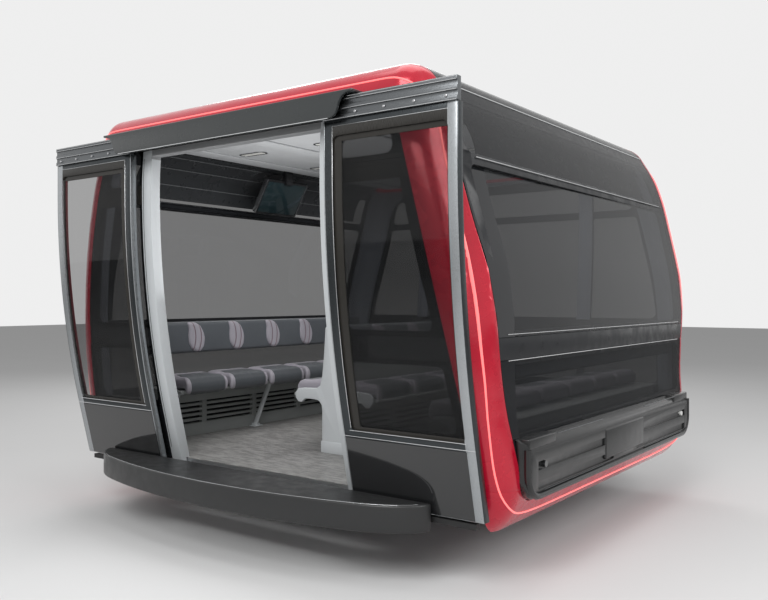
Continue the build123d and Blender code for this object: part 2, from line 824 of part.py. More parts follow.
end_seats = seat_starts(bench_start, bench_seats)
pan_low = cushion_bottom - pan_thickness
end_base = block(base_front_x, base_back_x, bench_start, base_end, 0, pan_low)
end_base = end_base + block(cushion_front_x + 65, base_back_x, bench_start, bench_end, pan_low, cushion_bottom)
for start in end_seats:
    end_base = end_base - grille(base_front_x, start, min(start + seat_pitch, base_end), 1)
end_cushions = [cushion(cushion_front_x, cushion_back_x, start) for start in end_seats]
back_end = side_y(back_bottom, cover_end_width) - back_clearance
end_back = block(back_front_x, far, bench_start, back_end, back_bottom, back_top) & across(end_outline(wall))
save("bench_base_right", end_base)
save("bench_base_left", flip(end_base))
save("cushions_right", *end_cushions)
save("cushions_left", *[flip(piece) for piece in end_cushions])
save("back_rest_right", end_back)
save("back_rest_left", flip(end_back))

legs = []
for seats in leg_seats:
    y = bench_start + seats * seat_pitch
    face = make_face(
        Polyline(
            (leg_foot_x - leg_foot_length, 0),
            (leg_foot_x, 0),
            (leg_foot_x, 14),
            (leg_foot_x - leg_foot_length / 2 + 24, 24),
            (leg_top_x + 46, pan_low),
            (leg_top_x, pan_low),
            (leg_foot_x - leg_foot_length / 2 - 24, 24),
            (leg_foot_x - leg_foot_length, 14),
            close=True,
        )
    )
    leg = Pos(0, y + leg_thickness / 2, 0) * extrude(Plane.XZ * face, leg_thickness)
    legs += [leg, flip(leg)]
save("bench_legs", *legs)

centre_starts = seat_starts(centre_start, centre_seats)
pedestal = block(-centre_pedestal_half, centre_pedestal_half, centre_start, base_end, 0, pan_low)
pan_half = centre_nose_x - 65
centre_base = pedestal + block(-pan_half, pan_half, centre_start, bench_end, pan_low, cushion_bottom)
for start in centre_starts:
    stop = min(start + seat_pitch, base_end)
    centre_base = centre_base - grille(centre_pedestal_half, start, stop, -1) - grille(-centre_pedestal_half, start, stop, 1)
centre_cushions = []
for start in centre_starts:
    piece = cushion(-centre_nose_x, -centre_back_half - 2, start)
    centre_cushions += [piece, flip(piece)]
centre_back = block(-centre_back_half, centre_back_half, centre_start, bench_end, back_bottom, back_top)
centre_post = block(-centre_back_half / 2, centre_back_half / 2, centre_start, bench_end, cushion_bottom, back_bottom)
panel_outline = [
    (centre_pedestal_half, 0),
    (centre_pedestal_half, pan_low - 60),
    (centre_nose_x - 90, pan_low - 15),
    (centre_nose_x - 90, cushion_top - 70),
    (centre_back_half + 50, cushion_top + 20),
    (centre_back_half, back_top),
]
panel_face = make_face(Polyline(*panel_outline, *[(-x, z) for x, z in reversed(panel_outline)], close=True))
centre_panel = Pos(0, centre_start, 0) * extrude(Plane.XZ * panel_face, centre_panel_thickness)
save("centre_bench_base", centre_base)
save("centre_bench_panel", centre_panel)
save("centre_cushions", *centre_cushions)
save("centre_back_rest", centre_back + centre_post)

# ---- monitor ------------------------------------------------------------------------------------
screen = Pos(-monitor_x, 0, monitor_z) * Rot(0, monitor_tilt, 0) * Box(monitor_depth, monitor_width, monitor_height)
stem_x = -ceiling_half_length + joint_gap
stem_base = monitor_z + monitor_height / 3
half = monitor_stem_width / 2
stem = block(stem_x, stem_x + monitor_stem_thickness, -half, half, stem_base, ceiling_height)
save("monitor", screen + stem)
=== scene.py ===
import itertools
import json
import math

import bmesh
import bpy
from bpy.props import FloatProperty, FloatVectorProperty, IntProperty, PointerProperty
from mathutils import Matrix, Vector


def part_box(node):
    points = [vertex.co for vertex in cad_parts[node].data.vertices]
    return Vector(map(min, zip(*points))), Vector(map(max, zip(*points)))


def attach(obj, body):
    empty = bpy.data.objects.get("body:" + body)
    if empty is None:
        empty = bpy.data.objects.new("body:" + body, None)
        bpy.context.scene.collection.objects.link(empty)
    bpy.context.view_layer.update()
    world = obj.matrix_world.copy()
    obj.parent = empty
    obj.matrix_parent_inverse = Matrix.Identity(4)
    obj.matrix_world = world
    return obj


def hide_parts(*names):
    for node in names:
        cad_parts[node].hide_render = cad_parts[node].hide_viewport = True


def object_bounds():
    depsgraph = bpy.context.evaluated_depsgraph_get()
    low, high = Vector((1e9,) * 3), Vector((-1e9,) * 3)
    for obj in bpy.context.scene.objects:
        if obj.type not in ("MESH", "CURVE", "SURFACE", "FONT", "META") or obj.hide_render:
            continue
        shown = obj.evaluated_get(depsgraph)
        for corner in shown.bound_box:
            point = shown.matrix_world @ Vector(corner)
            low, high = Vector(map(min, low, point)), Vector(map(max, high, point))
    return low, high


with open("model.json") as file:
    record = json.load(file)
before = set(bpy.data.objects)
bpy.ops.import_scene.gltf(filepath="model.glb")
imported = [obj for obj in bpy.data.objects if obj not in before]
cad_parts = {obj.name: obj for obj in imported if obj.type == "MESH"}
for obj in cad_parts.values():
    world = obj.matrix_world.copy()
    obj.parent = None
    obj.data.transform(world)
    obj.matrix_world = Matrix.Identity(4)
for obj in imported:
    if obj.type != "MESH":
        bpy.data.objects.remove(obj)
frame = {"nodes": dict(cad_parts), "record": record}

bl_info = {
    "name": "Cable Car Cabin",
    "version": (1, 0, 0),
    "blender": (4, 5, 0),
    "location": "3D View > Sidebar > Cabin",
    "description": "Dresses the cable car cabin: finishes, light strip, doors, benches and stage",
    "category": "Object",
}

NODES = frame["nodes"]
CAD_LOW, CAD_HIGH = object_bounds()
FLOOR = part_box("floor_covering")[1].z  # top of the floor covering
LEAF_LOW, LEAF_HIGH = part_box("leaf_frame_right")
RAIL_LOW, RAIL_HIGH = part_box("leaf_rail_right")
SEAT_LOW, SEAT_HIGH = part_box("cushions_right")
BACK_LOW, BACK_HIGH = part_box("back_rest_right")
CENTRE_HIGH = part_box("centre_cushions")[1]
BUMPER_LOW, BUMPER_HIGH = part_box("bumper_right")
HEADER_LOW, HEADER_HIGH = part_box("door_header")

MIRROR_X = Matrix.Scale(-1, 4, (1, 0, 0))
MIRROR_Y = Matrix.Scale(-1, 4, (0, 1, 0))
SIDES = (("right", Matrix()), ("left", MIRROR_X))
ROW_START = SEAT_LOW.y - 0.004  # where the pitch of the first seat begins
GRILLE_FRONT = 1.432  # front of the end benches' grilles, in X


# ---- sizes and colours --------------------------------------------------------------------------
class CabinSizes(bpy.types.PropertyGroup):
    """Sizes of the pieces that dress the cabin."""

    strip_radius: FloatProperty(
        name="Strip radius", description="Half the light strip's width", default=0.0055, unit="LENGTH",
    )
    panel_edge: FloatProperty(
        name="Panel edge", description="Rounding along the body panels' edges", default=0.004, unit="LENGTH",
    )
    leaf_edge: FloatProperty(
        name="Leaf edge", description="Rounding along the door leaves' edges", default=0.004, unit="LENGTH",
    )
    sill_edge: FloatProperty(
        name="Sill edge", description="Rounding along the sill bar", default=0.012, unit="LENGTH",
    )
    seat_pitch: FloatProperty(
        name="Seat pitch", description="From one seat to the next", default=0.452, unit="LENGTH",
    )
    seat_voxel: FloatProperty(
        name="Seat mesh", description="Mesh size of the seat cushions", default=0.011, unit="LENGTH",
    )
    seat_swell: FloatProperty(
        name="Seat swell", description="Most that a cushion's cover may swell", default=0.012, unit="LENGTH",
    )
    screw_count: IntProperty(name="Rail screws", description="Screws along each door rail", default=5, min=2)


class CabinColours(bpy.types.PropertyGroup):
    """Colours of the cabin's finishes."""

    hoop: FloatVectorProperty(
        name="Hoop", description="Paint of the hoops",
        subtype="COLOR", default=(0.36, 0.003, 0.014), min=0, max=1,
    )
    strip: FloatVectorProperty(
        name="Strip", description="Light of the strip",
        subtype="COLOR", default=(1.0, 0.21, 0.2), min=0, max=1,
    )
    body: FloatVectorProperty(
        name="Body", description="Paint of the body panels",
        subtype="COLOR", default=(0.013, 0.014, 0.016), min=0, max=1,
    )
    jamb: FloatVectorProperty(
        name="Jamb", description="Paint of the door jambs",
        subtype="COLOR", default=(0.55, 0.575, 0.59), min=0, max=1,
    )
    cover: FloatVectorProperty(
        name="Covers", description="Inner pillar covers",
        subtype="COLOR", default=(0.235, 0.25, 0.285), min=0, max=1,
    )
    ceiling: FloatVectorProperty(
        name="Ceiling", description="Ceiling panel",
        subtype="COLOR", default=(0.5, 0.51, 0.52), min=0, max=1,
    )
    vinyl: FloatVectorProperty(
        name="Vinyl", description="Floor covering",
        subtype="COLOR", default=(0.25, 0.247, 0.24), min=0, max=1,
    )
    charcoal: FloatVectorProperty(
        name="Charcoal", description="Seat covers",
        subtype="COLOR", default=(0.07, 0.077, 0.085), min=0, max=1,
    )
    mauve: FloatVectorProperty(
        name="Mauve", description="Seat bolsters",
        subtype="COLOR", default=(0.30, 0.285, 0.32), min=0, max=1,
    )


# ---- modelling helpers --------------------------------------------------------------------------
def at(x, y, height):
    """A point given by its height above the floor covering."""
    return Vector((x, y, height + FLOOR))


def deselect():
    """Leave edit mode and select nothing."""
    if bpy.context.object and bpy.context.object.mode != "OBJECT":
        bpy.ops.object.mode_set(mode="OBJECT")
    bpy.ops.object.select_all(action="DESELECT")


def select(*pieces):
    """Select pieces, with the first one active."""
    deselect()
    for piece in pieces:
        piece.select_set(True)
    bpy.context.view_layer.objects.active = pieces[0]


def settle():
    """Put the active piece's place into its mesh."""
    bpy.ops.object.transform_apply(location=True, rotation=True, scale=True)


def open_edit():
    """Go to edit mode with all of the active piece selected."""
    bpy.ops.object.mode_set(mode="EDIT")
    bpy.ops.mesh.select_all(action="SELECT")


def close_edit():
    """Go back from editing."""
    bpy.ops.object.mode_set(mode="OBJECT")


def extrude(pull):
    """Extrude all of the open piece along a vector."""
    bpy.ops.mesh.select_all(action="SELECT")
    bpy.ops.mesh.extrude_region_move(TRANSFORM_OT_translate={"value": pull})


def turn_faces(inside=False):
    """Turn all the faces of the open piece outwards, or inwards."""
    bpy.ops.mesh.select_all(action="SELECT")
    bpy.ops.mesh.normals_make_consistent(inside=inside)


def cut_off(place, way):
    """Cut the open piece across at a place, take away what lies beyond it and close the cut."""
    bpy.ops.mesh.select_all(action="SELECT")
    bpy.ops.mesh.bisect(plane_co=place, plane_no=way, use_fill=True, clear_outer=True)


def name_piece(piece, name):
    """Name a piece and its mesh."""
    piece.name = name
    piece.data.name = name
    return piece


def block(name, low, high):
    """Start a piece from a cube between two corners."""
    deselect()
    bpy.ops.mesh.primitive_cube_add(size=1, location=[(a + b) / 2 for a, b in zip(low, high)])
    piece = name_piece(bpy.context.object, name)
    piece.scale = [abs(b - a) for a, b in zip(low, high)]
    settle()
    return piece


def cylinder(name, centre, radius, depth, axis="Z", sides=24):
    """Start a piece from a cylinder along an axis."""
    deselect()
    turn = {"X": (0, math.pi / 2, 0), "Y": (math.pi / 2, 0, 0), "Z": (0, 0, 0)}[axis]
    bpy.ops.mesh.primitive_cylinder_add(
        vertices=sides, radius=radius, depth=depth, location=centre, rotation=turn
    )
    piece = name_piece(bpy.context.object, name)
    settle()
    return piece


def chain(name, points, closed=False):
    """Draw a line of edges point by point, starting from a plane merged to one vertex."""
    deselect()
    bpy.ops.mesh.primitive_plane_add(size=0.01, location=points[0])
    piece = name_piece(bpy.context.object, name)
    settle()
    bpy.ops.object.mode_set(mode="EDIT")
    bpy.ops.mesh.select_mode(type="VERT")
    bpy.ops.mesh.merge(type="CENTER")
    for start, stop in zip(points, points[1:]):
        bpy.ops.mesh.extrude_vertices_move(TRANSFORM_OT_translate={"value": stop - start})
    if closed:
        bpy.ops.object.mode_set(mode="OBJECT")
        ends = (piece.data.vertices[0], piece.data.vertices[len(points) - 1])
        for vertex in ends:
            vertex.select = True
        bpy.ops.object.mode_set(mode="EDIT")
        bpy.ops.mesh.edge_face_add()
    bpy.ops.object.mode_set(mode="OBJECT")
    return piece


def plate(name, points, pull):
    """Draw an outline, fill it and extrude it along a vector."""
    piece = chain(name, points)
    open_edit()
    bpy.ops.mesh.edge_face_add()
    extrude(pull)
    turn_faces()
    close_edit()
    return piece


def sheet(name, points, *pulls, inside=None):
    """Draw a line and extrude it along one vector after another, then turn its faces if asked."""
    piece = chain(name, points)
    open_edit()
    for pull in pulls:
        extrude(pull)
    if inside is not None:
        turn_faces(inside)
    close_edit()
    return piece


def tube(name, points, radius, closed=False, ground=()):
    """Draw a round bar through points, laid on CAD nodes where given."""
    piece = chain(name, points, closed)
    if ground:
        bed = join("bed", [copy(NODES[node], Matrix()) for node in ground])
        change(piece, "SHRINKWRAP", target=bed, wrap_method="NEAREST_SURFACEPOINT")
        bpy.data.objects.remove(bed)
    select(piece)
    bpy.ops.object.convert(target="CURVE")
    piece = bpy.context.object
    piece.data.bevel_depth = radius
    piece.data.bevel_resolution = 2
    piece.data.use_fill_caps = True
    bpy.ops.object.convert(target="MESH")
    return name_piece(bpy.context.object, name)


def rod(name, start, stop, radius, wide=1.0):
    """Start a piece from a cylinder between two points, oval along Y if wide is not 1."""
    deselect()
    bpy.ops.mesh.primitive_cylinder_add(vertices=20, radius=radius, depth=(stop - start).length)
    piece = name_piece(bpy.context.object, name)
    piece.scale = (1, wide, 1)
    settle()
    piece.rotation_euler = (stop - start).to_track_quat("Z", "Y").to_euler()
    piece.location = (start + stop) / 2
    settle()
    return piece


def node_slice(name, node, axis, span):
    """A merged copy of a CAD node's part between two places along an axis."""
    piece = from_node(name, node)
    bpy.ops.object.mode_set(mode="EDIT")
    bpy.ops.mesh.select_mode(type="VERT")
    line = Vector([float(letter == axis) for letter in "XYZ"])
    for place, way in zip(span, (-1, 1)):
        cut_off(line * place, line * way)
    turn_faces()
    close_edit()
    return piece


def change(piece, kind, **settings):
    """Add a modifier and apply it."""
    select(piece)
    modifier = piece.modifiers.new(kind.title(), kind)
    for key, value in settings.items():
        setattr(modifier, key, value)
    bpy.ops.object.modifier_apply(modifier=modifier.name)
    return piece


def round_edges(piece, width, segments=3, angle=35):
    """Round a piece's sharp edges."""
    return change(
        piece,
        "BEVEL",
        width=width,
        segments=segments,
        limit_method="ANGLE",
        angle_limit=math.radians(angle),
        use_clamp_overlap=True,
        miter_outer="MITER_ARC",
    )


def smooth(piece, angle=38):
    """Shade smooth across all but the sharp edges."""
    select(piece)
    bpy.ops.object.shade_smooth_by_angle(angle=math.radians(angle))
    return piece


def copy(piece, matrix, name=None):
    """Another piece with its own mesh, placed by a matrix."""
    twin = bpy.data.objects.new(name or piece.name, piece.data.copy())
    bpy.context.scene.collection.objects.link(twin)
    twin.data.transform(matrix)
    if matrix.determinant() < 0:
        twin.data.flip_normals()
    return twin


def join(name, pieces):
    """Join pieces into one."""
    select(*pieces)
    if len(pieces) > 1:
        bpy.ops.object.join()
    return name_piece(bpy.context.object, name)


def pick(piece, test, mode="FACE"):
    """Open a piece for editing with only the faces or edges that pass a test selected."""
    select(piece)
    bpy.ops.object.mode_set(mode="EDIT")
    bpy.ops.mesh.select_mode(type=mode)
    mesh = bmesh.from_edit_mesh(piece.data)
    for group in (mesh.verts, mesh.edges, mesh.faces):
        for item in group:
            item.select = False
    for item in mesh.faces if mode == "FACE" else mesh.edges:
        if test(item):
            item.select = True
    mesh.select_flush_mode()
    bmesh.update_edit_mesh(piece.data)


def from_node(name, node, flat_angle=0.4):
    """A merged copy of a CAD node, its flat faces made whole again within an angle."""
    piece = bpy.data.objects.new(name, NODES[node].data.copy())
    bpy.context.scene.collection.objects.link(piece)
    piece.data.name = name
    piece.data.materials.clear()
    select(piece)
    if piece.data.has_custom_normals:
        bpy.ops.mesh.customdata_custom_splitnormals_clear()
    open_edit()
    bpy.ops.mesh.remove_doubles(threshold=0.00002)
    if flat_angle:
        bpy.ops.mesh.dissolve_limited(angle_limit=math.radians(flat_angle))
    close_edit()
    return piece


FULLER = (  # height above the floor covering, and how far the ends stand out there
    (0.55, 0.0),
    (0.8, 0.025),
    (1.0, 0.055),
    (1.3, 0.08),
    (1.65, 0.086),
    (1.9, 0.1),
    (2.08, 0.1),
    (2.2, 0.075),
    (2.32, 0.035),
    (2.45, 0.0),
)
NEAR_EDGE, NEAR_FADE = -1.675, 0.09  # place in Y where the fullness ends at the door side, and its run-out
FAR_EDGE, FAR_FADE = 1.9, 0.2
CAGE_WIDTH = 3.8
CAGE_LOW, CAGE_HIGH = 0.4, 2.5  # heights above the floor covering
CAGE_SHARE = 0.62  # share of the outer points' shift that arrives at the ends' faces


def fullness(y, height):
    """How far the ends stand out at a place, more than the solids do, for a squarer corner."""
    side = (y - NEAR_EDGE) / NEAR_FADE if y < 0 else (FAR_EDGE - y) / FAR_FADE
    side = min(max(side, 0.0), 1.0)
    rise = 0.0
    for (z0, a0), (z1, a1) in zip(FULLER, FULLER[1:]):
        if z0 <= height <= z1:
            rise = a0 + (a1 - a0) * (height - z0) / (z1 - z0)
    return rise * side * side * (3 - 2 * side)


def make_cage():
    """Make the lattice that bends what stands at the ends."""
    deselect()
    tall = CAGE_HIGH - CAGE_LOW
    bpy.ops.object.add(type="LATTICE", location=at(0, 0, (CAGE_LOW + CAGE_HIGH) / 2))
    cage = bpy.context.object
    cage.name = "cage"
    cage.scale = (CAGE_WIDTH, CAGE_WIDTH, tall)
    data = cage.data
    data.points_u, data.points_v, data.points_w = 5, 77, 22
    data.interpolation_type_u = data.interpolation_type_v = data.interpolation_type_w = "KEY_LINEAR"
    for point in data.points:
        if abs(point.co.x) > 0.4:
            out = fullness(point.co.y * CAGE_WIDTH, (point.co.z + 0.5) * tall + CAGE_LOW)
            point.co_deform.x += math.copysign(out / CAGE_SHARE / CAGE_WIDTH, point.co.x)
    bpy.context.view_layer.update()
    return cage


def fill_out(piece, group=""):
    """Bend a piece at the ends with the lattice, so that the corners stand fuller."""
    cage = bpy.data.objects.get("cage") or make_cage()
    return change(piece, "LATTICE", object=cage, vertex_group=group)


def seat(piece, body, finish, replaced=(), angle=38):
    """Finish a piece: shade it, paint it, and let it ride on its body."""
    smooth(piece, angle)
    piece.data.materials.clear()
    piece.data.materials.append(FINISHES[finish])
    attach(piece, body)
    if replaced:
        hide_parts(*replaced)
    return piece


def seat_sides(piece, name, body, finish, replaced=()):
    """Finish copies at the right and, mirrored, at the left; braces in a name stand for the side."""
    for side, matrix in SIDES:
        twin = copy(piece, matrix, name.format(side))
        seat(twin, body.format(side), finish, [node.format(side) for node in replaced])
    bpy.data.objects.remove(piece)


def rounded_node(node, width, body, finish):
    """A CAD node's copy with rounded edges, standing for the node."""
    piece = from_node(f"{node}_dressed", node)
    round_edges(piece, width, 2)
    return seat(piece, body, finish, (node,))


# ---- finishes -----------------------------------------------------------------------------------
FINISHES = {}


class Finish:
    """A material built node by node around one Principled shader."""

    def __init__(self, name, **sockets):
        self.material = bpy.data.materials.new(name)
        self.material.use_nodes = True
        self.tree = self.material.node_tree
        self.shader = self.tree.nodes["Principled BSDF"]
        for key, value in sockets.items():
            label = key.replace("_", " ")
            if isinstance(value, tuple) and len(value) == 3:
                value = (*value, 1.0)
            self.shader.inputs[label].default_value = value
        self.place = self.node("ShaderNodeTexCoord").outputs["Object"]
        FINISHES[name] = self.material

    def node(self, kind, inputs=None, **settings):
        """Add a node, set it up and link or fill its inputs."""
        made = self.tree.nodes.new(kind)
        for key, value in settings.items():
            setattr(made, key, value)
        for key, value in (inputs or {}).items():
            if isinstance(value, bpy.types.NodeSocket):
                self.tree.links.new(value, made.inputs[key])
            else:
                made.inputs[key].default_value = value
        return made

    def noise(self, scale, detail=2.0, stretch=(1, 1, 1), roughness=0.5):
        """Noise on the object's own coordinates."""
        place = self.node("ShaderNodeMapping", {"Vector": self.place, "Scale": stretch}).outputs[0]
        made = self.node(
            "ShaderNodeTexNoise", {"Vector": place, "Scale": scale, "Detail": detail, "Roughness": roughness}
        )
        return made.outputs["Fac"]

    def cells(self, scale):
        """Fine grain: the distance to scattered points."""
        return self.node("ShaderNodeTexVoronoi", {"Vector": self.place, "Scale": scale}).outputs["Distance"]

    def math(self, operation, first, second=0.0, clamp=False):
        """One step of arithmetic."""
        made = self.node("ShaderNodeMath", {0: first, 1: second}, operation=operation, use_clamp=clamp)
        return made.outputs[0]

    def inside(self, value, low, high):
        """How deep a value lies between two limits."""
        return self.math("MINIMUM", self.math("SUBTRACT", value, low), self.math("SUBTRACT", high, value))

    def repeat(self, value, pitch):
        """A value counted from the nearest of places one pitch apart."""
        made = self.node("ShaderNodeMath", {0: value, 1: pitch / 2, 2: -pitch / 2}, operation="WRAP")
        return made.outputs[0]

    def axis(self, name):
        """One of the object's own coordinates."""
        return self.node("ShaderNodeSeparateXYZ", {0: self.place}).outputs[name]

    def span(self, value, low, high, start=0.0, stop=1.0):
        """Map a range of values smoothly to another."""
        made = self.node(
            "ShaderNodeMapRange",
            {"Value": value, "From Min": low, "From Max": high, "To Min": start, "To Max": stop},
            interpolation_type="SMOOTHSTEP",
        )
        return made.outputs[0]

    def blend(self, factor, first, second):
        """Mix two colours."""
        made = self.node("ShaderNodeMix", data_type="RGBA")
        for key, value in ((0, factor), (6, first), (7, second)):
            if isinstance(value, bpy.types.NodeSocket):
                self.tree.links.new(value, made.inputs[key])
            elif isinstance(value, tuple):
                made.inputs[key].default_value = (*value, 1.0)
            else:
                made.inputs[key].default_value = value
        return made.outputs[2]

    def mottle(self, factor, base, low, high):
        """Vary a colour between two shares of itself."""
        return self.blend(factor, tuple(c * low for c in base), tuple(min(c * high, 1) for c in base))

    def send(self, label, output):
        """Link an output to one of the shader's sockets."""
        self.tree.links.new(output, self.shader.inputs[label])

    def colour(self, base, shift, fac):
        """Vary the base colour a little, darker and lighter by a share."""
        self.send("Base Color", self.mottle(fac, base, 1 - shift, 1 + shift))

    def rough(self, fac, low, high):
        """Vary the roughness between two values."""
        self.send("Roughness", self.span(fac, 0.3, 0.7, low, high))

    def bump(self, *layers):
        """Bump from layers of (height, depth in metres)."""
        normal = None
        for height, depth in layers:
            made = self.node("ShaderNodeBump", {"Height": height, "Distance": depth, "Strength": 1.0})
            if normal:
                self.tree.links.new(normal, made.inputs["Normal"])
            normal = made.outputs[0]
        self.send("Normal", normal)


def paint(name, base, rough=0.12, coat=1.0, metal=0.0, peel=0.00012, shift=0.1, spread=0.25):
    """Sprayed paint with a faint orange peel, dust and fine handling marks."""
    made = Finish(
        name, Roughness=rough, Metallic=metal, Coat_Weight=coat, Coat_Roughness=0.04, Specular_IOR_Level=0.3
    )
    dust = made.noise(3.0, 4.0)
    made.colour(base, shift, dust)
    made.rough(made.noise(9.0, 5.0), rough * (1 - spread), rough * (1 + 1.5 * spread))
    made.bump((made.noise(220.0, 1.0), peel))
    return made


def plastic(name, base, rough=0.45, grain=0.00016, scale=650.0, shift=0.07):
    """Moulded plastic with a fine leather-like grain."""
    made = Finish(name, Roughness=rough)
    made.colour(base, shift, made.noise(4.0, 4.0))
    made.rough(made.noise(14.0, 4.0), rough * 0.85, rough * 1.2)
    made.bump((made.cells(scale), grain))
    return made


def metal(name, base, rough=0.3, stretch=(1, 60, 60), scale=30.0, depth=0.00008):
    """Brushed or extruded metal, its fine lines along one axis."""
    made = Finish(name, Metallic=1.0, Roughness=rough)
    lines = made.noise(scale, 4.0, stretch)
    made.colour(base, 0.12, lines)
    made.rough(lines, rough * 0.75, rough * 1.35)
    made.bump((lines, depth))
    return made


def glass(name, base, see, frit=(0.024, 0.022, 0.019), window=None, band=None):
    """Tinted glass, with a printed border round a window in X and Z or a printed band between two heights."""
    made = Finish(name, Base_Color=base, Roughness=0.02, Alpha=1 - see, IOR=1.5, Specular_IOR_Level=0.3)
    made.bump((made.noise(2.2, 1.0), 0.0006))
    printed = None
    if window:
        x0, x1, z0, z1 = window
        across = made.inside(made.math("ABSOLUTE", made.axis("X")), x0, x1)
        up = made.inside(made.axis("Z"), z0, z1)
        printed = made.span(made.math("MINIMUM", across, up), -0.001, 0.001, 1.0, 0.0)
    if band:
        printed = made.span(made.inside(made.axis("Z"), *band), -0.001, 0.001, 0.0, 0.85)
    if printed:
        ink = made.mottle(made.noise(40.0, 3.0), frit, 0.85, 1.15)
        made.send("Base Color", made.blend(printed, base, ink))
        made.send("Alpha", made.math("ADD", made.math("MULTIPLY", printed, see), 1 - see, True))
        made.send("Roughness", made.span(printed, 0.0, 1.0, 0.02, 0.25))
    return made


def leather(name, base, stripe, nose, reach, back):
    """Seat cover: a charcoal middle and mauve bolsters along its sides and back, with a welt between them.

    It runs from its nose to its back, both places in X, and reach is half its middle's width.
    """
    made = Finish(name, Roughness=0.45, Sheen_Weight=0.08)
    pitch = bpy.context.scene.cabin_sizes.seat_pitch
    across = made.math("SUBTRACT", made.axis("Y"), ROW_START + pitch / 2)
    across = made.math("ABSOLUTE", made.repeat(across, pitch))
    depth = abs(back - nose)
    along = made.math("SUBTRACT", made.math("ABSOLUTE", made.axis("X")), nose)
    along = made.math("MULTIPLY", along, 1.0 / (back - nose))
    # half width of the middle, narrowing to its rounded rear corners
    curve = made.math("POWER", made.math("MAXIMUM", along, 0.0), 5.0)
    width = made.math("SUBTRACT", reach, made.math("MULTIPLY", curve, 0.34))
    rear = made.math("MULTIPLY", made.math("SUBTRACT", along, 0.64), depth)
    edge = made.math("MAXIMUM", made.math("SUBTRACT", across, width), rear)
    fine = made.noise(5.0, 4.0)
    middle, bolster = made.mottle(fine, base, 0.88, 1.14), made.mottle(fine, stripe, 0.93, 1.07)
    made.send("Base Color", made.blend(made.span(edge, -0.0012, 0.0012), middle, bolster))
    made.rough(made.noise(30.0, 3.0), 0.38, 0.52)
    welt = made.span(made.math("ABSOLUTE", edge), 0.0, 0.007)
    made.bump((welt, 0.004), (made.cells(420.0), 0.00018))
    return made


def portal_paint(name, silver, dim):
    """Silver paint that turns to a dimmer grey on the doorway's lintel."""
    made = paint(name, silver, rough=0.34, coat=0.1, peel=0.00004, shift=0.02, spread=0.05)
    above = made.math("GREATER_THAN", made.axis("Z"), LEAF_HIGH.z - 0.03)
    within = made.math("LESS_THAN", made.math("ABSOLUTE", made.axis("X")), 0.752)
    pale = made.mottle(made.noise(3.0), silver, 0.97, 1.03)
    grey = made.mottle(made.noise(3.0), dim, 0.5, 0.54)
    made.send("Base Color", made.blend(made.math("MULTIPLY", above, within), pale, grey))


def leaf_metal(name):
    """Dark brushed metal with a printed border where the pane's edge shows."""
    made = metal(name, (0.06, 0.066, 0.07), rough=0.26, stretch=(40, 40, 1))
    low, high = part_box("leaf_glass_right")
    across = made.inside(made.math("ABSOLUTE", made.axis("X")), low.x, high.x)
    up = made.inside(made.axis("Z"), high.z - 0.06, high.z + 0.055)
    printed = made.span(made.math("MINIMUM", across, up), -0.001, 0.001)
    plain = made.blend(made.noise(30.0, 4.0, (40, 40, 1)), (0.053, 0.058, 0.062), (0.067, 0.074, 0.078))
    made.send("Base Color", made.blend(printed, plain, (0.02, 0.0185, 0.016)))
    made.send("Metallic", made.math("SUBTRACT", 1.0, printed))


def end_glass(name):
    """Tinted glass with a dark printed border at its door-side edge, below the transom."""
    see, printed = 0.44, 0.97
    reach, top = 1.375, FLOOR + 1.85  # where the border starts beside the middle, and its upper end
    made = glass(name, (0.006, 0.007, 0.009), see)
    edge = made.span(made.math("ADD", made.axis("Y"), reach), -0.004, 0.004, 1.0, 0.0)
    border = made.span(made.axis("Z"), top, top + 0.01, printed, 1 - see)
    made.send("Alpha", made.math("MAXIMUM", 1 - see, made.math("MULTIPLY", edge, border)))


def vinyl(name, base):
    """Floor covering with pale and dark streaks and fine flecks."""
    made = Finish(name, Roughness=0.42)
    streak = made.noise(9.0, 8.0, (1.0, 5.0, 1.0), 0.75)
    fleck = made.noise(420.0, 2.0)
    veined = made.mottle(made.span(streak, 0.38, 0.62), base, 0.56, 1.3)
    pale = tuple(c * 1.5 for c in base)
    made.send("Base Color", made.blend(made.span(fleck, 0.55, 0.7, 0.0, 0.25), veined, pale))
    made.rough(streak, 0.36, 0.5)
    made.bump((fleck, 0.00015), (streak, 0.0001))


def pad_cloth(name, base):
    """Cover of the pads between the seats, with two bowed seams."""
    made = Finish(name, Roughness=0.5, Sheen_Weight=0.1)
    cloth = made.mottle(made.noise(8.0, 4.0), base, 1.25, 1.45)
    pitch = bpy.context.scene.cabin_sizes.seat_pitch
    y = made.repeat(made.math("SUBTRACT", made.axis("Y"), ROW_START), pitch)
    z = made.math("SUBTRACT", made.axis("Z"), (BACK_LOW.z + BACK_HIGH.z) / 2)
    bow = made.math("MULTIPLY", made.math("MULTIPLY", z, z), 2.2)
    side = made.math("ABSOLUTE", made.math("SUBTRACT", made.math("ADD", y, bow), 0.012))
    seam = made.math("ABSOLUTE", made.math("SUBTRACT", side, 0.03))
    line = made.span(seam, 0.0, 0.008)
    made.send("Base Color", made.blend(line, (0.2, 0.12, 0.14), cloth))
    made.rough(made.noise(30.0, 3.0), 0.42, 0.55)
    made.bump((line, 0.006), (made.cells(500.0), 0.0002))


OWN_FINISH = {  # CAD nodes whose finish isn't that of their slot
    "door_side_panes": "side_glass",
    "door_guides": "seal_rubber",
    "head_lamps": "head_lens",
}


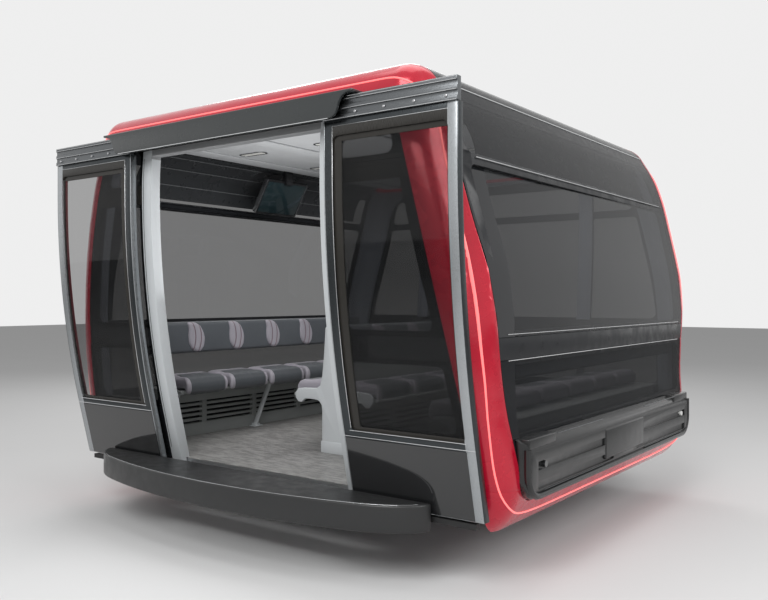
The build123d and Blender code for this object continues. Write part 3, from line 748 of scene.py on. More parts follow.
class CABIN_OT_finishes(bpy.types.Operator):
    """Make the finishes and give one to every CAD node"""

    bl_idname = "cabin.finishes"
    bl_label = "Finishes"

    def execute(self, context):
        tone = {
            key: tuple(getattr(context.scene.cabin_colours, key)) for key in CabinColours.__annotations__
        }
        paint("body_black", tone["body"], coat=0.3)
        paint("frame_black", tone["body"], rough=0.34, coat=0.0)
        paint("leaf_black", (0.016, 0.0165, 0.0175), rough=0.1)
        hoop = paint("hoop_red", tone["hoop"], rough=0.26, metal=0.35, coat=0.7).shader
        hoop.inputs["Coat Roughness"].default_value = 0.12
        # the hoop paint glows faintly red: a painted glow of the light strip's light, since the hoops and end
        # bands are no lamp
        hoop.inputs["Emission Strength"].default_value = 0.15
        hoop.inputs["Emission Color"].default_value = (0.9, 0.01, 0.07, 1)
        paint("header_grey", (0.03, 0.034, 0.035), rough=0.24, coat=0.5)
        paint("jamb_silver", tone["jamb"], rough=0.34, coat=0.1, peel=0.00004, shift=0.02, spread=0.05)
        portal_paint("portal_silver", tone["jamb"], tone["ceiling"])
        paint("frame_steel", (0.16, 0.165, 0.17), rough=0.4, coat=0.0, metal=0.3, peel=0.0003)
        plastic("bumper_black", (0.014, 0.0145, 0.015), rough=0.22, grain=0.00005)
        plastic("step_black", (0.017, 0.0175, 0.018), rough=0.36, grain=0.00025, scale=260.0)
        plastic("cover_grey", tone["cover"], rough=0.4)
        plastic("cove_grey", (0.03, 0.032, 0.034), rough=0.3)
        plastic("rib_grey", (0.15, 0.155, 0.16), rough=0.3)
        plastic("ceiling_white", tone["ceiling"], rough=0.5, grain=0.0001)
        plastic("monitor_black", (0.012, 0.012, 0.013), rough=0.2, grain=0.00004)
        plastic("seal_rubber", (0.011, 0.011, 0.0115), rough=0.6, grain=0.0002, scale=900.0)
        plastic("lamp_lens", (0.78, 0.78, 0.74), rough=0.3, grain=0.0004, scale=300.0)
        plastic("bench_grey", (0.33, 0.345, 0.34), rough=0.38, grain=0.00012, scale=900.0)
        head = Finish("head_lens", Roughness=0.12, Coat_Weight=1.0)
        # the lens at +Y is painted bright, as a lit lamp, and the one at -Y is painted dark, as painted shade
        lit = head.math("GREATER_THAN", head.axis("Y"), 0.0)
        head.send("Base Color", head.blend(lit, (0.02, 0.021, 0.022), (0.8, 0.8, 0.78)))
        head.rough(head.noise(60.0), 0.08, 0.2)
        head.bump((head.noise(90.0, 1.0), 0.0003))
        leaf_metal("leaf_frame")
        metal("rail_aluminium", (0.15, 0.158, 0.165), rough=0.3)
        metal("stile_metal", (0.42, 0.44, 0.455), rough=0.3, stretch=(40, 40, 1))
        metal("trim_aluminium", (0.66, 0.67, 0.68), rough=0.2)
        metal("frame_aluminium", (0.5, 0.51, 0.52), rough=0.38)
        metal("screw_steel", (0.5, 0.5, 0.51), rough=0.25, stretch=(20, 20, 20), scale=15.0)
        end_glass("tinted_glass")
        low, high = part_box("leaf_glass_right")
        window = (low.x + 0.06, high.x - 0.012, low.z + 0.03, high.z - 0.03)
        glass("leaf_glass", (0.006, 0.0065, 0.007), 0.62, window=window)
        glass("side_glass", (0.006, 0.0065, 0.007), 0.6, band=(FLOOR + 1.76, FLOOR + 1.89))
        screen = Finish("screen_glass", Base_Color=(0.012, 0.022, 0.025), Roughness=0.1, Coat_Weight=0.6)
        screen.bump((screen.noise(2.0, 1.0), 0.0002))
        strip = Finish("light_strip", Base_Color=(0.4, 0.04, 0.05), Roughness=0.4, Emission_Strength=1.25)
        strip.send("Emission Color", strip.mottle(strip.noise(6.0, 1.0), tone["strip"], 1.0, 1.08))
        vinyl("floor_vinyl", tone["vinyl"])
        leather("seat_end", tone["charcoal"], tone["mauve"], SEAT_LOW.x, 0.172, SEAT_HIGH.x)
        leather("seat_centre", tone["charcoal"], tone["mauve"], 0.408, 0.172, 0.074)
        plain = Finish("seat_plain", Roughness=0.45, Sheen_Weight=0.08)
        plain.colour(tuple(c * 1.5 for c in tone["charcoal"]), 0.1, plain.noise(5.0, 4.0))
        plain.rough(plain.noise(30.0, 3.0), 0.38, 0.52)
        plain.bump((plain.cells(420.0), 0.00018))
        pad_cloth("pad_mauve", tone["mauve"])
        slots = {row["node"]: row["material_slot"] for row in frame["record"]["subparts"]}
        for node, piece in NODES.items():
            finish = "seat_plain" if slots[node] == "seat_charcoal" else slots[node]
            piece.data.materials.clear()
            piece.data.materials.append(FINISHES[OWN_FINISH.get(node, finish)])
        return {"FINISHED"}


# ---- body ---------------------------------------------------------------------------------------
class CABIN_OT_body_panels(bpy.types.Operator):
    """Dress the end bands, hoops, end frames, end glass, far side, roof shell and portal"""

    bl_idname = "cabin.body_panels"
    bl_label = "Body panels"

    def execute(self, context):
        edge = context.scene.cabin_sizes.panel_edge
        for node in ("end_band_left", "end_band_right"):
            rounded_node(node, edge, "cabin", "hoop_red")
        for node in ("hoop_door_side", "hoop_far_side"):
            hoop = fill_out(from_node(f"{node}_dressed", node))
            seat(round_edges(hoop, edge, 2), "cabin", "hoop_red", (node,))
        for side in ("left", "right"):
            node = f"end_frame_{side}"
            ring = from_node(f"{node}_dressed", node)
            round_edges(ring, edge * 0.7, 2)
            seat(fill_out(ring), "cabin", "frame_black", (node,))
            node = f"end_panes_{side}"
            panes = fill_out(from_node(f"{node}_dressed", node))
            seat(panes, "cabin", "tinted_glass", (node,))
        for node, finish in (
            ("far_side_wall", "body_black"),
            ("far_side_panes", "tinted_glass"),
            ("roof_shell", "body_black"),
        ):
            seat(fill_out(from_node(f"{node}_dressed", node, 0)), "cabin", finish, (node,))
        rounded_node("door_portal", edge * 1.5, "cabin", "portal_silver")
        return {"FINISHED"}


class CABIN_OT_pillar_covers(bpy.types.Operator):
    """Dress the inner pillar covers, skin the far wall's pillars and line the jambs"""

    bl_idname = "cabin.pillar_covers"
    bl_label = "Pillar covers"

    def execute(self, context):
        covers = from_node("pillar_covers_dressed", "pillar_covers")
        far = covers.vertex_groups.new(name="far")
        far.add([vertex.index for vertex in covers.data.vertices if vertex.co.y > 0], 1.0, "REPLACE")
        fill_out(covers, "far")
        round_edges(covers, context.scene.cabin_sizes.panel_edge * 2, 2)
        seat(covers, "cabin", "cover_grey", ("pillar_covers",))
        bottom, top = 0.93, 2.2  # heights of the pillars between the side's windows
        slice_half, widened, inwards = 0.02, 3.2, 0.006  # a pillar's slice, its stretch in X and its shift
        for centre in (-0.867, 0.867):
            span = (centre - slice_half, centre + slice_half)
            skin = node_slice("pillar_skin", "far_side_wall", "X", span)
            bpy.ops.object.mode_set(mode="EDIT")
            cut_off(at(0, 0, bottom), (0, 0, -1))
            cut_off(at(0, 0, top), (0, 0, 1))
            bpy.ops.mesh.select_all(action="SELECT")
            bpy.ops.transform.translate(value=(0, -inwards, 0))
            bpy.ops.transform.resize(value=(widened, 1, 1), center_override=(centre, 0, 0))
            close_edit()
            seat(round_edges(skin, 0.004, 2), "cabin", "cover_grey")
        jamb_lines = []
        start, rise, steps = 0.02, 2.05, 20
        for x in (-0.829, 0.829):
            path = [at(x, -1.79, start + rise * step / steps) for step in range(steps + 1)]
            jamb_lines.append(tube("jamb_line", path, 0.0022, ground=("door_portal",)))
        seat(join("jamb_lines", jamb_lines), "cabin", "seal_rubber")
        return {"FINISHED"}


STRIP_QUARTER = (  # the light strip's x, y and height, from the middle of the roof's edge to an end's middle
    (0.0, -1.748, 2.308),
    (0.55, -1.748, 2.308),
    (1.08, -1.747, 2.308),
    (1.21, -1.745, 2.305),
    (1.285, -1.742, 2.29),
    (1.345, -1.722, 2.262),
    (1.39, -1.694, 2.215),
    (1.435, -1.66, 2.123),
    (1.4676, -1.66, 2.01),
    (1.5015, -1.669, 1.872),
    (1.542, -1.667, 1.712),
    (1.586, -1.66, 1.528),
    (1.6246, -1.654, 1.345),
    (1.663, -1.6485, 1.123),
    (1.695, -1.638, 0.856),
    (1.72, -1.612, 0.6),
    (1.734, -1.577, 0.338),
    (1.743, -1.553, 0.205),
    (1.757, -1.511, 0.09),
    (1.768, -1.42, 0.0),
    (1.757, -1.28, -0.045),
    (1.743, -1.0, -0.064),
    (1.741, -0.5, -0.066),
    (1.741, 0.0, -0.066),
)


def curve_through(points, steps):
    """Points on a smooth line through the given ones."""
    made = []
    for index in range(len(points) - 1):
        a, b, c, d = (points[min(max(index + k, 0), len(points) - 1)] for k in (-1, 0, 1, 2))
        for step in range(steps):
            t = step / steps
            bend, twist = 2 * a - 5 * b + 4 * c - d, 3 * b - a - 3 * c + d
            made.append(0.5 * (2 * b + (c - a) * t + bend * t**2 + twist * t**3))
    return made


def mirrored(points, matrix):
    """A line of points, then its mirror image back again."""
    return points + [matrix @ point for point in reversed(points)]


class CABIN_OT_light_strip(bpy.types.Operator):
    """Lay the light strip round the hoops and across both ends"""

    bl_idname = "cabin.light_strip"
    bl_label = "Light strip"

    def execute(self, context):
        least = 0.012  # least step from point to point
        path = mirrored(curve_through([at(*point) for point in STRIP_QUARTER], 3), MIRROR_Y)
        path = mirrored(path, MIRROR_X)
        spaced = [path[0]]
        for point in path[1:]:
            if (point - spaced[-1]).length > least:
                spaced.append(point)
        if (spaced[-1] - spaced[0]).length < least:
            spaced.pop()
        ground = ("hoop_door_side", "hoop_far_side", "end_band_left", "end_band_right")
        strip = fill_out(tube("light_strip", spaced, context.scene.cabin_sizes.strip_radius, True, ground))
        seat(strip, "cabin", "light_strip", angle=60)
        return {"FINISHED"}


class CABIN_OT_end_trims(bpy.types.Operator):
    """Lay fine lines across both ends' glass, a trim at the transom and painted highlights along the roof's
    edge and the belt, and the rails behind it
    """

    bl_idname = "cabin.end_trims"
    bl_label = "End trims"

    def execute(self, context):
        lines = []
        # the lines at the roof's edge and at the belt's top and bottom are painted highlights, bright metal
        # laid where these edges catch the light; the one at the transom is a trim
        for x, height, reach, radius in (
            (1.388, 2.298, 1.56, 0.0042),
            (1.506, 1.877, 1.5, 0.0036),
            (1.7115, 0.93, 1.46, 0.003),
            (1.734, 0.791, 1.45, 0.003),
        ):
            path = [at(x, -reach + 2 * reach * step / 24, height) for step in range(25)]
            lines.append(tube("end_line", path, radius, ground=("end_panes_right",)))
        lines = fill_out(join("end_lines", lines))
        seat_sides(lines, "end_lines_{}", "cabin", "trim_aluminium")
        rails = []
        for x, height, half in ((1.452, 1.888, 0.004), (1.462, 1.845, 0.003)):
            rail = block("rail", at(x - 0.006, -1.36, height - half), at(x + 0.01, 1.36, height + half))
            rails.append(round_edges(rail, 0.003, 2))
        rails = fill_out(join("transom_rails", rails))
        seat_sides(rails, "transom_rails_{}", "cabin", "rail_aluminium")
        return {"FINISHED"}


class CABIN_OT_coves(bpy.types.Operator):
    """Curve the coves and the roof liners at both ends and lay boards along the ceiling"""

    bl_idname = "cabin.coves"
    bl_label = "Coves and liners"

    def execute(self, context):
        half = 1.36
        shape = (  # x and height, from the ceiling to the transom
            (1.17, 2.23), (1.235, 2.222), (1.3, 2.19), (1.36, 2.13),
            (1.4, 2.05), (1.425, 1.97), (1.437, 1.905),
        )
        path = curve_through([at(x, -half, z) for x, z in shape], 4)
        cove = sheet("cove", path, Vector((0, 2 * half, 0)), inside=True)
        cove = fill_out(change(cove, "SOLIDIFY", thickness=0.006))
        seat_sides(cove, "cove_{}", "cabin", "cove_grey")
        ribs = []
        for index in (5, 11, 17):
            start = path[index] + Vector((-0.003, 0.01, -0.003))
            stop = path[index] + Vector((-0.003, 2 * half - 0.01, -0.003))
            ribs.append(tube("cove_rib", [start, stop], 0.0035))
        seat_sides(fill_out(join("cove_ribs", ribs)), "cove_ribs_{}", "cabin", "rib_grey")
        half = 1.5
        # x and height, under the roof's end and down behind the upper pane
        shape = ((1.22, 2.352), (1.29, 2.335), (1.33, 2.28), (1.352, 2.2), (1.366, 2.12))
        path = curve_through([at(x, -half, z) for x, z in shape], 4)
        liner = sheet("roof_liner", path, Vector((0, 2 * half, 0)))
        liner = fill_out(change(liner, "SOLIDIFY", thickness=0.004))
        seat_sides(liner, "roof_liner_{}", "cabin", "cove_grey")
        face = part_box("ceiling_panel")[0].z
        boards = []
        for x in (-1.04, -0.38, 0.38, 1.04):
            board = block("ceiling_board", (x - 0.085, -1.44, face - 0.012), (x + 0.085, 1.44, face + 0.002))
            boards.append(round_edges(board, 0.006, 3))
        seat(join("ceiling_boards", boards), "cabin", "ceiling_white")
        return {"FINISHED"}


class CABIN_OT_door_header(bpy.types.Operator):
    """Make the header over the doorway, with swept ends"""

    bl_idname = "cabin.door_header"
    bl_label = "Door header"

    def execute(self, context):
        low, high = HEADER_LOW.z - FLOOR, HEADER_HIGH.z - FLOOR
        front_y, reach = HEADER_LOW.y, HEADER_HIGH.x
        scale = (high - low) / 0.144  # the ends are drawn for a header 0.144 m high
        end = (
            (-0.165, 0.0), (-0.13, 0.012), (-0.108, 0.04), (-0.094, 0.08),
            (-0.072, 0.112), (-0.036, 0.128), (0.0, 0.13),
        )
        swept = curve_through([at(reach + x, front_y, low + z * scale) for x, z in end], 3)
        swept += [at(reach, front_y, low + 0.13 * scale), at(reach, front_y, high)]
        front = plate("header_front", mirrored(swept, MIRROR_X), Vector((0, 0.02, 0)))
        hood = block(
            "header_hood",
            (-reach, front_y + 0.01, HEADER_HIGH.z - 0.014),
            (reach, HEADER_HIGH.y, HEADER_HIGH.z - 0.0005),
        )
        round_edges(front, 0.005)
        round_edges(hood, 0.003)
        foot = reach - 0.165
        corners = at(-foot, front_y - 0.0015, low + 0.001), at(foot, front_y + 0.006, low + 0.005)
        lip = block("header_lip", *corners)
        seat(lip, "cabin", "trim_aluminium")
        header = join("door_header_dressed", [front, hood])
        seat(header, "cabin", "header_grey", ("door_header",))
        return {"FINISHED"}


class CABIN_OT_sill_bar(bpy.types.Operator):
    """Round the sill bar and lay a fine bright line along its front, a painted highlight"""

    bl_idname = "cabin.sill_bar"
    bl_label = "Sill bar"

    def execute(self, context):
        low, high = FLOOR - 0.128, FLOOR + 0.024
        front = (  # x and y of the bar's front edge, from its middle to its end
            (0.0, -2.012), (0.4, -1.993), (0.8, -1.937), (1.09, -1.87), (1.22, -1.822), (1.31, -1.768),
            (1.37, -1.708), (1.405, -1.65),
        )
        edge = curve_through([Vector((x, y, high)) for x, y in front], 3)
        edge.append(Vector((1.408, -1.634, high)))
        outline = [MIRROR_X @ point for point in reversed(edge[1:])] + edge
        bar = plate("sill_bar", outline, Vector((0, 0, low - high)))
        round_edges(bar, context.scene.cabin_sizes.sill_edge, 4)
        seat(bar, "cabin", "step_black", ("door_sill_bar",))
        # the sill line is a painted highlight: bright metal laid where the bar's front top edge catches the
        # light
        inset = [Vector((point.x * 0.992, point.y + 0.010, high - 0.0015)) for point in outline[3:-3]]
        seat(tube("sill_line", inset, 0.0028), "cabin", "trim_aluminium")
        return {"FINISHED"}


def arc(centre, radius, start, stop, steps):
    """Points round part of a circle in Y and Z, by angles in degrees."""
    made = []
    for step in range(steps + 1):
        angle = math.radians(start + (stop - start) * step / steps)
        made.append(centre + Vector((0, radius * math.cos(angle), radius * math.sin(angle))))
    return made


class CABIN_OT_bumpers(bpy.types.Operator):
    """Round the bumpers and cap their ends and middle"""

    bl_idname = "cabin.bumpers"
    bl_label = "Bumpers"

    def execute(self, context):
        front, low, high = BUMPER_HIGH.x, BUMPER_LOW.z, BUMPER_HIGH.z
        width = BUMPER_HIGH.y
        turn = 0.15  # radius of the lower corners
        deep, clear = 0.2, 0.004  # the envelope's depth behind the front and its room round the bumper
        corner = arc(Vector((front - deep, width + clear - turn, low - clear + turn)), turn, 0, -90, 8)
        envelope = mirrored(corner, MIRROR_Y)
        envelope += [Vector((front - deep, side * (width + clear), high + 0.01)) for side in (-1, 1)]
        envelope = plate("envelope", envelope, Vector((deep + 0.06, 0, 0)))
        rim_radius = 0.02
        rim_x = front - 0.012
        bend = arc(Vector((rim_x, width - turn, low + turn)), turn - rim_radius, 0, -90, 6)
        rim = [Vector((rim_x, width - rim_radius, high - 0.05))] + bend
        caps = [tube("bumper_rim", mirrored(rim, MIRROR_Y), rim_radius)]
        for side in (-1, 1):
            y0, y1 = sorted((side * (width - 0.36), side * (width - 0.03)))
            ledge = block("ledge", (front - 0.11, y0, high - 0.052), (front - 0.006, y1, high + 0.004))
            caps.append(round_edges(ledge, 0.008, 3))
        plaque = block("plaque", (front - 0.05, -0.35, low + 0.07), (front + 0.005, 0.35, high - 0.07))
        caps.append(round_edges(plaque, 0.014, 4))
        lines = []
        middle = 0.38  # half of the bare middle
        for height, reach in ((high - 0.004, width - 0.37), (low + 0.045, width - 0.2)):
            for ends in ((-reach, -middle), (middle, reach)):
                path = [Vector((front - 0.004, y, height)) for y in ends]
                lines.append(tube("bumper_line", path, 0.0022))
        for side, matrix in SIDES:
            node = f"bumper_{side}"
            body = from_node(f"{node}_dressed", node)
            shape = copy(envelope, matrix)
            change(body, "BOOLEAN", object=shape, operation="INTERSECT", solver="EXACT")
            bpy.data.objects.remove(shape)
            seat(round_edges(body, 0.008, 3), "cabin", "bumper_black", (node,))
        bpy.data.objects.remove(envelope)
        caps, lines = join("bumper_caps", caps), join("bumper_lines", lines)
        seat_sides(caps, "bumper_caps_{}", "cabin", "bumper_black")
        seat_sides(lines, "bumper_lines_{}", "cabin", "rail_aluminium")
        return {"FINISHED"}


# ---- door leaves --------------------------------------------------------------------------------
LEAF_FACE = 1.875  # from the cabin's middle to the leaves' outer face, where they stand upright
LEAF_BOW = 6.5  # radius of the face below that
BOW_HIGH, BOW_LOW = 1.85, 0.35  # heights between which the face is bowed


def leaf_y(height):
    """Outer face of a leaf at a height above the floor covering."""
    if height >= BOW_HIGH:
        return -LEAF_FACE
    drop = BOW_HIGH - max(height, BOW_LOW)
    face = LEAF_FACE - LEAF_BOW + math.sqrt(LEAF_BOW**2 - drop**2)
    if height < BOW_LOW:
        face -= (BOW_LOW - height) * math.tan(math.asin(drop / LEAF_BOW))
    return -face


class CABIN_OT_door_leaves(bpy.types.Operator):
    """Round the leaves and add their trim, a painted highlight line, screws and edge profiles"""

    bl_idname = "cabin.door_leaves"
    bl_label = "Door leaves"

    def execute(self, context):
        sizes = context.scene.cabin_sizes
        for side in ("right", "left"):
            body = f"door_leaf_{side}"
            rounded_node(f"leaf_frame_{side}", sizes.leaf_edge, body, "leaf_frame")
            rounded_node(f"leaf_panel_{side}", sizes.leaf_edge, body, "leaf_black")
            rounded_node(f"leaf_rail_{side}", 0.0025, body, "rail_aluminium")
        x0, x1 = LEAF_LOW.x, LEAF_HIGH.x
        trims = []
        # the line at 0.344 is a trim on the joint between pane and panel; the shorter one at 0.378 is a
        # painted highlight, bright metal laid where the pane's lower edge catches the light
        for height, start, stop in ((0.344, x0 + 0.004, x1 - 0.004), (0.378, x0 + 0.05, x1 - 0.05)):
            path = [at(start, leaf_y(height) - 0.0015, height), at(stop, leaf_y(height) - 0.0015, height)]
            trims.append(tube("leaf_trim", path, 0.0026))
        heights = [0.395 + 0.0979 * step for step in range(18)]
        bead = [at(x0 + 0.061, leaf_y(height) - 0.001, height) for height in heights]
        bead += [at(x1 - 0.06, leaf_y(heights[-1]) - 0.001, heights[-1])]
        trims.append(tube("leaf_bead", bead, 0.0022))
        for height in (RAIL_HIGH.z - 0.006, RAIL_HIGH.z - 0.02, RAIL_LOW.z + 0.054, RAIL_LOW.z + 0.004):
            path = [Vector((x, RAIL_LOW.y - 0.0006, height)) for x in (x0 + 0.004, x1 - 0.003)]
            trims.append(tube("rail_line", path, 0.0024))
        heights = [-0.038 + step * 0.372 / 8 for step in range(9)]
        path = [at(x0 + 0.01, leaf_y(height) - 0.0012, height) for height in heights]
        pulls = (Vector((x1 - x0 - 0.068, 0, 0)), Vector((0, 0.01, 0)))
        skin = sheet("leaf_skin", path, *pulls, inside=False)
        profile = node_slice("leaf_profile", "leaf_frame_right", "X", (x0 - 0.01, x0 + 0.007))
        stile = node_slice("leaf_stile", "leaf_frame_right", "X", (x1 - 0.062, x1 - 0.006))
        for piece in (profile, stile):
            pick(piece, lambda face: True)
            bpy.ops.transform.shrink_fatten(value=0.0012)
            close_edit()
            round_edges(piece, 0.003, 2)
        screws = []
        for index in range(sizes.screw_count):
            x = x0 + 0.04 + index * (x1 - x0 - 0.103) / (sizes.screw_count - 1)
            place = (x, RAIL_LOW.y - 0.002, RAIL_LOW.z + 0.027)
            screws.append(round_edges(cylinder("rail_screw", place, 0.008, 0.007, "Y", 16), 0.0022, 2))
        for piece, name, slot, finish in (
            (join("leaf_trims", trims), "leaf_trim_{}", "rail_aluminium", "trim_aluminium"),
            (profile, "leaf_profile_{}", "rail_aluminium", "stile_metal"),
            (stile, "leaf_stile_{}", "rail_aluminium", "stile_metal"),
            (skin, "leaf_skin_{}", "leaf_black", "leaf_black"),
            (join("rail_screws", screws), "rail_screws_{}", "rail_aluminium", "screw_steel"),
        ):
            seat_sides(piece, name, "door_leaf_{}", finish)
        return {"FINISHED"}


# ---- benches ------------------------------------------------------------------------------------
def inflate(piece, voxel, cap, pressure=4.0):
    """Remesh a cushion and let its cover swell by cloth, up to a cap."""
    change(piece, "REMESH", mode="VOXEL", voxel_size=voxel)
    before = [vertex.co.copy() for vertex in piece.data.vertices]
    select(piece)
    cloth = piece.modifiers.new("Cloth", "CLOTH")
    cloth.settings.use_pressure = True
    cloth.settings.uniform_pressure_force = pressure
    cloth.settings.effector_weights.gravity = 0
    cloth.point_cache.frame_start, cloth.point_cache.frame_end = 1, 20
    for number in range(1, 21):
        bpy.context.scene.frame_set(number)
    bpy.ops.object.modifier_apply(modifier=cloth.name)
    bpy.context.scene.frame_set(1)
    for vertex, start in zip(piece.data.vertices, before):
        move = vertex.co - start
        if move.length > cap:
            vertex.co = start + move * (cap / move.length)
    return piece


class CABIN_OT_seat_cushions(bpy.types.Operator):
    """Make one padded seat cushion and repeat it along the benches"""

    bl_idname = "cabin.seat_cushions"
    bl_label = "Seat cushions"

    def execute(self, context):
        sizes = context.scene.cabin_sizes
        front, gap = SEAT_LOW.x, 0.008
        side = (  # a cushion seen from its side: x from its front and height from its underside
            (0.085, 0.052), (0.055, 0.018), (0.034, 0.012), (0.019, 0.026), (0.012, 0.06),
            (0.016, 0.092), (0.038, 0.118), (0.08, 0.13), (0.2, 0.137), (0.31, 0.142),
            (0.35, 0.138), (0.369, 0.12), (0.369, 0.055),
        )
        outline = [Vector((front + x, SEAT_LOW.y + gap, SEAT_LOW.z + z)) for x, z in side]
        pad = plate("seat_cushion", outline, Vector((0, sizes.seat_pitch - 3 * gap, 0)))
        pick(pad, lambda edge: abs(edge.verts[0].co.y - edge.verts[1].co.y) < 0.001, "EDGE")
        bpy.ops.mesh.bevel(offset=0.036, segments=5, affect="EDGES", clamp_overlap=True)
        close_edit()
        inflate(pad, sizes.seat_voxel, sizes.seat_swell)
        change(pad, "SMOOTH", factor=0.5, iterations=3)
        rows = {"right": [], "left": [], "centre": []}
        for index in range(6):
            move = Matrix.Translation((0, index * sizes.seat_pitch, 0))
            for side, matrix in SIDES:
                rows[side].append(copy(pad, matrix @ move))
        rear = Matrix.Translation((0.074, 0, 0))  # the middle cushions' rear edge
        shallow = rear @ Matrix.Scale(0.84, 4, (1, 0, 0)) @ rear.inverted()
        turned = shallow @ Matrix.Translation((front + CENTRE_HIGH.x, 0, 0)) @ MIRROR_X
        for index in range(1, 6):
            move = Matrix.Translation((0, index * sizes.seat_pitch, 0)) @ turned
            rows["centre"] += [copy(pad, move), copy(pad, MIRROR_X @ move)]
        bpy.data.objects.remove(pad)
        for row, pads in rows.items():
            node, finish = f"cushions_{row}", "seat_end"
            if row == "centre":
                node, finish = "centre_cushions", "seat_centre"
            made = join(f"seat_cushions_{row}", pads)
            seat(made, "cabin", finish, (node,), angle=80)
        return {"FINISHED"}


class CABIN_OT_back_rests(bpy.types.Operator):
    """Make the padded back rests and the pads between the seats"""

    bl_idname = "cabin.back_rests"
    bl_label = "Back rests"

    def execute(self, context):
        sizes = context.scene.cabin_sizes
        for row in ("right", "left", "centre"):
            node = "centre_back_rest" if row == "centre" else f"back_rest_{row}"
            piece = from_node(f"back_band_{row}", node)
            if row == "centre":
                open_edit()
                bpy.ops.mesh.bisect(
                    plane_co=(0, 0, BACK_LOW.z + 0.001), plane_no=(0, 0, 1), use_fill=True, clear_inner=True
                )
                close_edit()
            round_edges(piece, 0.028, 6)
            seat(piece, "cabin", "seat_plain", (node,))
        low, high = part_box("centre_back_rest")
        foot, head = (-0.036, low.y + 0.01, CENTRE_HIGH.z - 0.1), (0.036, high.y - 0.01, BACK_LOW.z + 0.01)
        post = block("centre_post", foot, head)
        round_edges(post, 0.006, 2)
        seat(post, "cabin", "bench_grey")
        shape = (  # a pad seen from its front: y and height from its middle
            (-0.102, 0.125), (-0.05, 0.128), (-0.003, 0.123), (0.046, 0.095), (0.08, 0.037),
            (0.094, -0.015), (0.083, -0.077), (0.051, -0.115), (0.013, -0.127), (-0.048, -0.105),
            (-0.083, -0.05), (-0.091, 0.017), (-0.085, 0.07),
        )
        pad = plate("back_pad", [Vector((-0.02, y, z)) for y, z in shape], Vector((0.055, 0, 0)))
        round_edges(pad, 0.02, 4)
        change(pad, "REMESH", mode="VOXEL", voxel_size=0.007)
        change(pad, "SMOOTH", factor=0.6, iterations=14)
        middle = (BACK_LOW.z + BACK_HIGH.z) / 2
        rows = {"right": [], "left": [], "centre": []}
        for index in range(1, 6):
            y = ROW_START + index * sizes.seat_pitch
            for side, matrix in SIDES:
                rows[side].append(copy(pad, matrix @ Matrix.Translation((BACK_LOW.x + 0.006, y, middle))))
            if index > 1:
                for way in (Matrix(), MIRROR_X):
                    rows["centre"].append(copy(pad, way @ Matrix.Translation((0.066, y, middle)) @ MIRROR_X))
        bpy.data.objects.remove(pad)
        for row, pads in rows.items():
            made = join(f"back_pads_{row}", pads)
            seat(made, "cabin", "pad_mauve", angle=80)
        return {"FINISHED"}


def grille(face, start, stop, way=1):
    """Posts and slats in a bench base's front, which lies at a place in X and faces against way."""
    inner = face + way * 0.036
    made = []
    for y in (-1.18, -0.72, -0.145, 0.43, 1.005, stop - 0.025):
        if y > start:
            x = sorted((face, inner))
            made.append(block("post", at(x[0], y - 0.025, 0.09), at(x[1], y + 0.025, 0.285)))
    for index in range(4):
        height = 0.118 + index * 0.041
        x = sorted((face + way * 0.003, inner - way * 0.012))
        made.append(block("slat", at(x[0], start + 0.005, height), at(x[1], stop - 0.005, height + 0.022)))
    return made


def bench_box(node, plinth, rail, reach):
    """Seat pan, plinth and upper rail of a bench base, the last two given by their places in X."""
    low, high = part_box(node)
    return [
        block("pan", (low.x, low.y, high.z - 0.022), (high.x, high.y, high.z - 0.001)),
        block("plinth", (plinth[0], low.y, low.z), (plinth[1], reach, low.z + 0.1)),
        block("rail", (rail[0], low.y, low.z + 0.278), (rail[1], reach, high.z - 0.02)),
    ]


def bench_pocket(name, node, x, reach):
    """A black block behind a bench base's grille, between two places in X: painted shade for the dark space
    there.
    """
    low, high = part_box(node)
    return block(name, (x[0], low.y + 0.01, low.z + 0.02), (x[1], reach - 0.01, high.z - 0.04))


